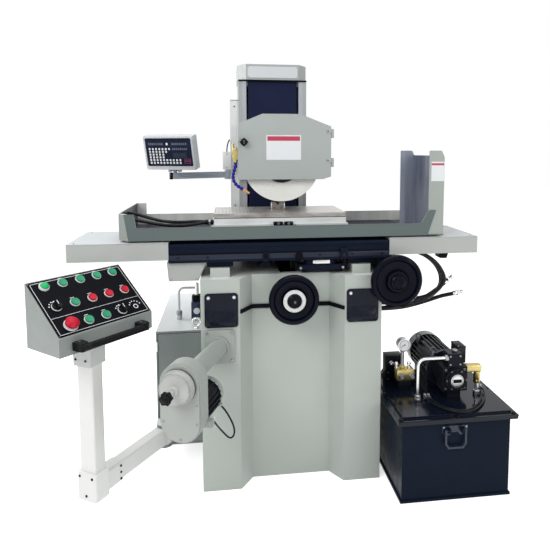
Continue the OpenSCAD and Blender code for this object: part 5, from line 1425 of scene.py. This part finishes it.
@rides("readout", "readout_grey")
def readout_bezel(piece):
    """Bezel, blank display windows and keys of the readout."""
    face = READOUT @ front(0, -32, 94.5)
    raised = face @ shift(0, 5, 0)
    rim = plate(rounded(262, 167, 10), 0, 6.0, [moved(rounded(246, 142, 8), 0, 5)])
    piece.add(rim, readout_silver, face)
    piece.add(plate(rounded(252, 148, 9), 5.6, 7.4, [rounded(245, 141, 8)]), readout_silver, raised)
    piece.add(box((-131.4, -33.4, 10.6), (131.4, -26, 15), 1.8), panel_black, READOUT)
    piece.add(plate(rounded(247, 143, 8), 0, 2.0), readout_navy, raised)
    windows = [(-69, 45.5, 88, 17), (57, 45.5, 92, 17), (57, 20.5, 86, 15), (54, -11, 74, 26)]
    for x, y, width, height in windows:
        piece.add(plate(rounded(width, height, 2), 1.6, 2.7), readout_glass, face @ shift(x, y, 0))
    for x, y, _, _ in windows[:3]:
        for digit in range(8):
            place = face @ shift(x + 10 * (digit - 3.5), y, 0)
            piece.add(plate(rounded(6.4, 9.4, 1), 2.4, 3.1), readout_digit, place)
    for row, count in enumerate((7, 6, 5, 5, 10, 10)):
        for column in range(count):
            key = face @ shift(-104 + 17.5 * column, 20.5 - 14 * row, 0)
            piece.add(box((-4.6, -5.0, 1.6), (4.6, 5.0, 3.4), 0.8), key_white, key)
    for y in (-34, -46):
        frame_key = plate(rounded(34, 11, 2), 1.6, 2.8, [rounded(31, 8, 1.5)])
        piece.add(frame_key, key_pink, face @ shift(92, y, 0))
    piece.add(plate(rounded(9.5, 12, 2), 1.6, 2.8), key_white, face @ shift(-8, 45.5, 0))


@rides("readout", "readout_grey")
def readout_back(piece):
    """Slots and screws of the readout's back."""
    for k in range(7):
        piece.add(box((-70, 13.6, 60 + 12 * k), (70, 15.4, 65 + 12 * k), 0.7), panel_black, READOUT)
    corners = [READOUT @ shift(x, 14, z) @ turn(-90, "X") for x in (-116, 116) for z in (28, 166)]
    screws(piece, 3.2, 2.4, bright_steel, corners)


@rides("readout_arm", "readout_grey")
def readout_arm_cap(piece):
    arm = READOUT_PIVOT @ turn(180 + math.degrees(math.atan2(132, 264)), "Z")
    piece.add(box((311, -11.4, -1.4), (322, 11.4, 33.4), 1.5), panel_black, arm)
    piece.add(box((34, -10.6, 14), (308, 10.6, 18), 0.8), arm_grey, arm)


@rides("base", "dark_steel")
def arm_pin_cap(piece):
    piece.add(drum(14, 40.2, 47, 28, inset=3), dark_steel, READOUT_PIVOT)
    piece.add(hexagon(9, 5), screw_steel, READOUT_PIVOT @ shift(0, 0, 46.6))


# Hydraulic unit


@rides("base", "tank_paint")
def lid_details(piece):
    """Nuts and lifting handles on the tank's lid."""
    middle = (650.5, -452.5)
    for x in (412, middle[0], 889):
        for y in (-691, middle[1], -214):
            if (x, y) != middle:
                piece.add(hexagon(8.5, 6), black_oxide, shift(x, y, 354))
                piece.add(ring(4, 11, 0, 1.2, 24), black_oxide, shift(x, y, 353.9))
    piece.add(box((396, -707, 346), (905, -704.6, 353.4)), lid_paint)
    for x in (470, 831):
        piece.add(swept(upright_arc(x, -250, 372, 13, 15, 12, 180), 3.6, 12), dark_steel)
        piece.add(drum(17, 0, 6, 28, inset=3, drop=2), dark_steel, shift(x, -250, LID_TOP))


@rides("base", "tank_paint")
def bail_bracket(piece):
    half = [(54, 16), (54, -12), (44, -24), (22, -24), (12, -12)]
    bracket = half + [(-x, y) for x, y in half[::-1]]
    piece.add(plate(bracket, 0, 3.0), bail_paint, front(640.5, -683, 299))
    screws(piece, 4, 2.6, screw_steel, [front(640.5 + x, -686, 309) for x in (-48, 48)])


@rides("base", "motor_paint")
def pump_details(piece):
    """Screws of the pump, its bare badge, and the motor's lifting rings, terminal box and fan slots."""
    screws(piece, 4.4, 3.4, dark_steel, around(front(PUMP_X, -567, PUMP_Z), 43, 6))
    badge = front(PUMP_X, -575, PUMP_Z)
    piece.add(ring(29, 37.6, 0, 1.2, 48), black_paint, badge)
    piece.add(drum(28, 0, 1.2, 44, inset=2, drop=0.6), ground_steel, badge)
    piece.add(plate(rounded(38, 15, 2), 1.0, 1.6), panel_black, badge)
    piece.add(ring(23.2, 25, 1.0, 1.5, 44), panel_black, badge)
    flange = front(PUMP_X, -550, PUMP_Z)
    screws(piece, 6, 4.5, dark_steel, [flange @ shift(x, z, 0) for x in (-42, 42) for z in (-42, 40)])
    screws(piece, 4, 3, screw_steel, [flange @ shift(x, z, 0) for x in (-22, 22) for z in (63, 99)])
    piece.add(hexagon(12, 9), screw_steel, shift(PUMP_X + 8, -520, 561))
    for y in (-430, -240):
        piece.add(swept(upright_arc(640, y, 538, 11, 11, 24), 3.2, 10, True), dark_steel)
        piece.add(drum(9, 506, 529, 20, inset=3), dark_steel, shift(640, y, 0))
    piece.add(box((753, -440, 545), (794, -358, 549), 1.4), black_paint)
    screws(piece, 3.2, 2.4, screw_steel, [shift(x, y, 548.8) for x in (760, 787) for y in (-432, -366)])
    fan = shift(PUMP_X, -166, PUMP_Z) @ turn(-90, "X")
    for k in range(8):
        piece.add(box((20, -3, 0), (70, 3, 1.4), 0.5), panel_black, fan @ turn(45 * k, "Z"))


@rides("base", "brass", "hydraulic_fittings")
def pressure_gauge(piece):
    gauge, stem = front(505, -436, 568), shift(505, -410, 0)
    case = [(0, -36), (25, -36), (28, -33), (28, -3), (29.4, -2), (29.4, 2.4), (28, 3.4), (24.6, 3.4),
            (24.2, 0.4), (0, 0.4)]
    piece.add(turned(case, 52), ground_steel, gauge)
    piece.add(drum(24, 0.3, 1.0, 48), plate_white, gauge)
    graduations(piece, gauge @ turn(225, "Z"), count=31, step=-9, r=22, sizes=(5, 3), half=0.4,
                low=0.9, high=1.3)
    needle = [(-1.4, -6), (1.4, -6), (0.5, 18), (-0.5, 18)]
    piece.add(plate(needle, 1.3, 1.8), panel_black, gauge @ turn(118, "Z"))
    piece.add(turned([(0, 1.2), (3, 1.2), (3, 2.4), (0, 2.8)], 20), dark_steel, gauge)
    piece.add(drum(8, 452, 545, 24), screw_steel, stem)
    piece.add(hexagon(13, 14), brass, stem @ shift(0, 0, 453))
    piece.add(hexagon(11, 10), brass, stem @ shift(0, 0, 530))


@rides("base", "brass", "hydraulic_fittings")
def valve_block(piece):
    """A brass block on a black foot with knobs and unions, and a black block behind it."""
    piece.add(box((487, -428, LID_TOP), (543, -392, 402.4), 1.5), black_paint)
    piece.add(box((475, -432, 402), (555, -388, 453), 2.5), brass)
    for x in (491, 539):
        port = front(x, -432, 427.5)
        piece.add(hexagon(13, 9), screw_steel, port)
        piece.add(drum(9.6, 8.6, 24, 24, inset=1.2, drop=2), screw_steel, port)
    side = shift(555, -410, 428) @ turn(90, "Y")
    knob = [(0, 7.6), (14, 7.6), (15, 9), (15, 17), (13, 19), (0, 19)]
    piece.add(hexagon(11, 8), screw_steel, side)
    piece.add(turned(knob, 24), black_plastic, side)
    screws(piece, 4, 3, screw_steel, [shift(x, y, 453) for x in (483, 547) for y in (-424, -396)])
    piece.add(box((455, -330, LID_TOP), (535, -270, 480), 3.0), black_paint)
    piece.add(box((461, -332, 410), (529, -329.4, 470), 1.0), black_paint)
    screws(piece, 4, 3, dark_steel, [front(x, -330, z) for x in (464, 526) for z in (372, 402)])
    union = [(0, 8.6), (6.6, 8.6), (6.6, 19), (8.4, 20), (8.4, 27), (7, 28), (0, 28)]
    for x, z in ((476, 452), (500, 446), (520, 428)):
        piece.add(hexagon(10, 9), bright_steel, front(x, -331.6, z))
        piece.add(turned(union, 24), bright_steel, front(x, -331.6, z))
    nipple = [(0, 460), (6.4, 460), (6.4, 468), (8.6, 469.4), (8.6, 478), (6.4, 481), (0, 481.6)]
    for x in (478, 536):
        piece.add(hexagon(9, 8), bright_steel, shift(x, -410, 452.6))
        piece.add(turned(nipple, 24), bright_steel, shift(x, -410, 0))


@rides("base", "brass", "hydraulic_fittings")
def pump_pipes(piece):
    """The bent pressure pipe, the brass elbow of the suction side and the return hoses' fittings."""
    foot, elbow = (530.5, -546), shift(810, -515, 0)
    rise = ((0, 363), (0, 420), (0, 508), (4, 528), (17, 541), (38, 543.5), (90, 543.5), (133.5, 543.5))
    pipe = curve_through([(foot[0] + x, foot[1], z) for x, z in rise], 4.0, 3)
    piece.add(swept(pipe, 7.0, 18), bright_steel)
    piece.add(hexagon(15, 14), screw_steel, shift(*foot, LID_TOP))
    piece.add(hexagon(13, 10), screw_steel, shift(*foot, LID_TOP + 14))
    piece.add(hexagon(13, 14), screw_steel, shift(649, foot[1], 543.5) @ turn(90, "Y"))
    piece.add(box((750, -532, 466), (826, -498, 498), 6.0, 3), brass)
    piece.add(turned([(0, 414), (13, 414), (14.5, 416), (14.5, 474), (0, 474)], 28), brass, elbow)
    piece.add(hexagon(16.5, 12), brass, elbow @ shift(0, 0, 418))
    piece.add(drum(8, 363, 416, 24), bright_steel, elbow)
    piece.add(drum(15, LID_TOP, 380, 28, inset=2), screw_steel, elbow)
    for x, y, z in ((570, -526, 372), (586, -526, 372), (846, -474, 376), (832, -474, 376)):
        piece.add(drum(7, LID_TOP, z + 10, 24, inset=1, drop=2), screw_steel, shift(x, y, 0))
        piece.add(hexagon(7, 9), screw_steel, front(x, y - 6, z))
        piece.add(drum(6, 0, 14, 20, inset=0.8, drop=1), dark_steel, front(x, y - 9.6, z))


# Floor and lights


def studio_floor():
    """A plain pale floor that the camera sees a little brighter than its light makes it."""
    net = MaterialNet("studio_floor")
    tone = net.mix(net.clouds(1.4, 3.0), (0.90, 0.90, 0.90), (0.93, 0.93, 0.93))
    net.set(Base_Color=tone, Roughness=0.75, Specular_IOR_Level=0.1, Emission_Color=(1.0, 1.0, 1.0),
            Emission_Strength=net.times(net.seen(), 0.64))
    bpy.ops.mesh.primitive_grid_add(x_subdivisions=8, y_subdivisions=8, size=26.0,
                                    location=(0.0, 4.0, -0.0012))
    floor = bpy.context.active_object
    floor.name = "studio_floor"
    floor.data.materials.append(net.material)


def studio_world():
    """White behind the object, with a softer and cooler light on it."""
    world = bpy.data.worlds.new("studio")
    scene.world = world
    net = Net(world)
    light = net.node("ShaderNodeBackground", Color=(0.97, 0.985, 1.0, 1.0), Strength=0.42)
    white = net.node("ShaderNodeBackground", Color=(1.0, 1.0, 1.0, 1.0), Strength=1.0)
    blend = net.node("ShaderNodeMixShader")
    for source, socket in zip((net.seen(), light.outputs[0], white.outputs[0]), blend.inputs):
        net.link(source, socket)
    net.link(blend.outputs[0], net.node("ShaderNodeOutputWorld").inputs["Surface"])


def lamp(name, place, target, size, power):
    data = bpy.data.lights.new(name, "AREA")
    data.shape = "RECTANGLE"
    data.size, data.size_y = size
    data.energy = power
    made = bpy.data.objects.new(name, data)
    made.location = place
    made.rotation_euler = (Vector(target) - Vector(place)).to_track_quat("-Z", "Y").to_euler()
    scene.collection.objects.link(made)


studio_floor()
studio_world()
lamp("key_light", place=(-2.6, -3.4, 3.4), target=(0.0, -0.1, 0.8), size=(2.4, 2.0), power=95.0)
lamp("fill_light", place=(3.0, -3.2, 2.2), target=(0.1, -0.2, 0.7), size=(2.4, 2.4), power=46.0)
lamp("top_light", place=(0.0, -0.4, 4.6), target=(0.0, 0.0, 0.6), size=(3.2, 3.2), power=60.0)
lamp("back_light", place=(-2.8, 1.3, 2.0), target=(-0.5, -0.2, 0.6), size=(1.8, 1.8), power=55.0)

scene.view_settings.view_transform = "Standard"
scene.view_settings.look = "None"
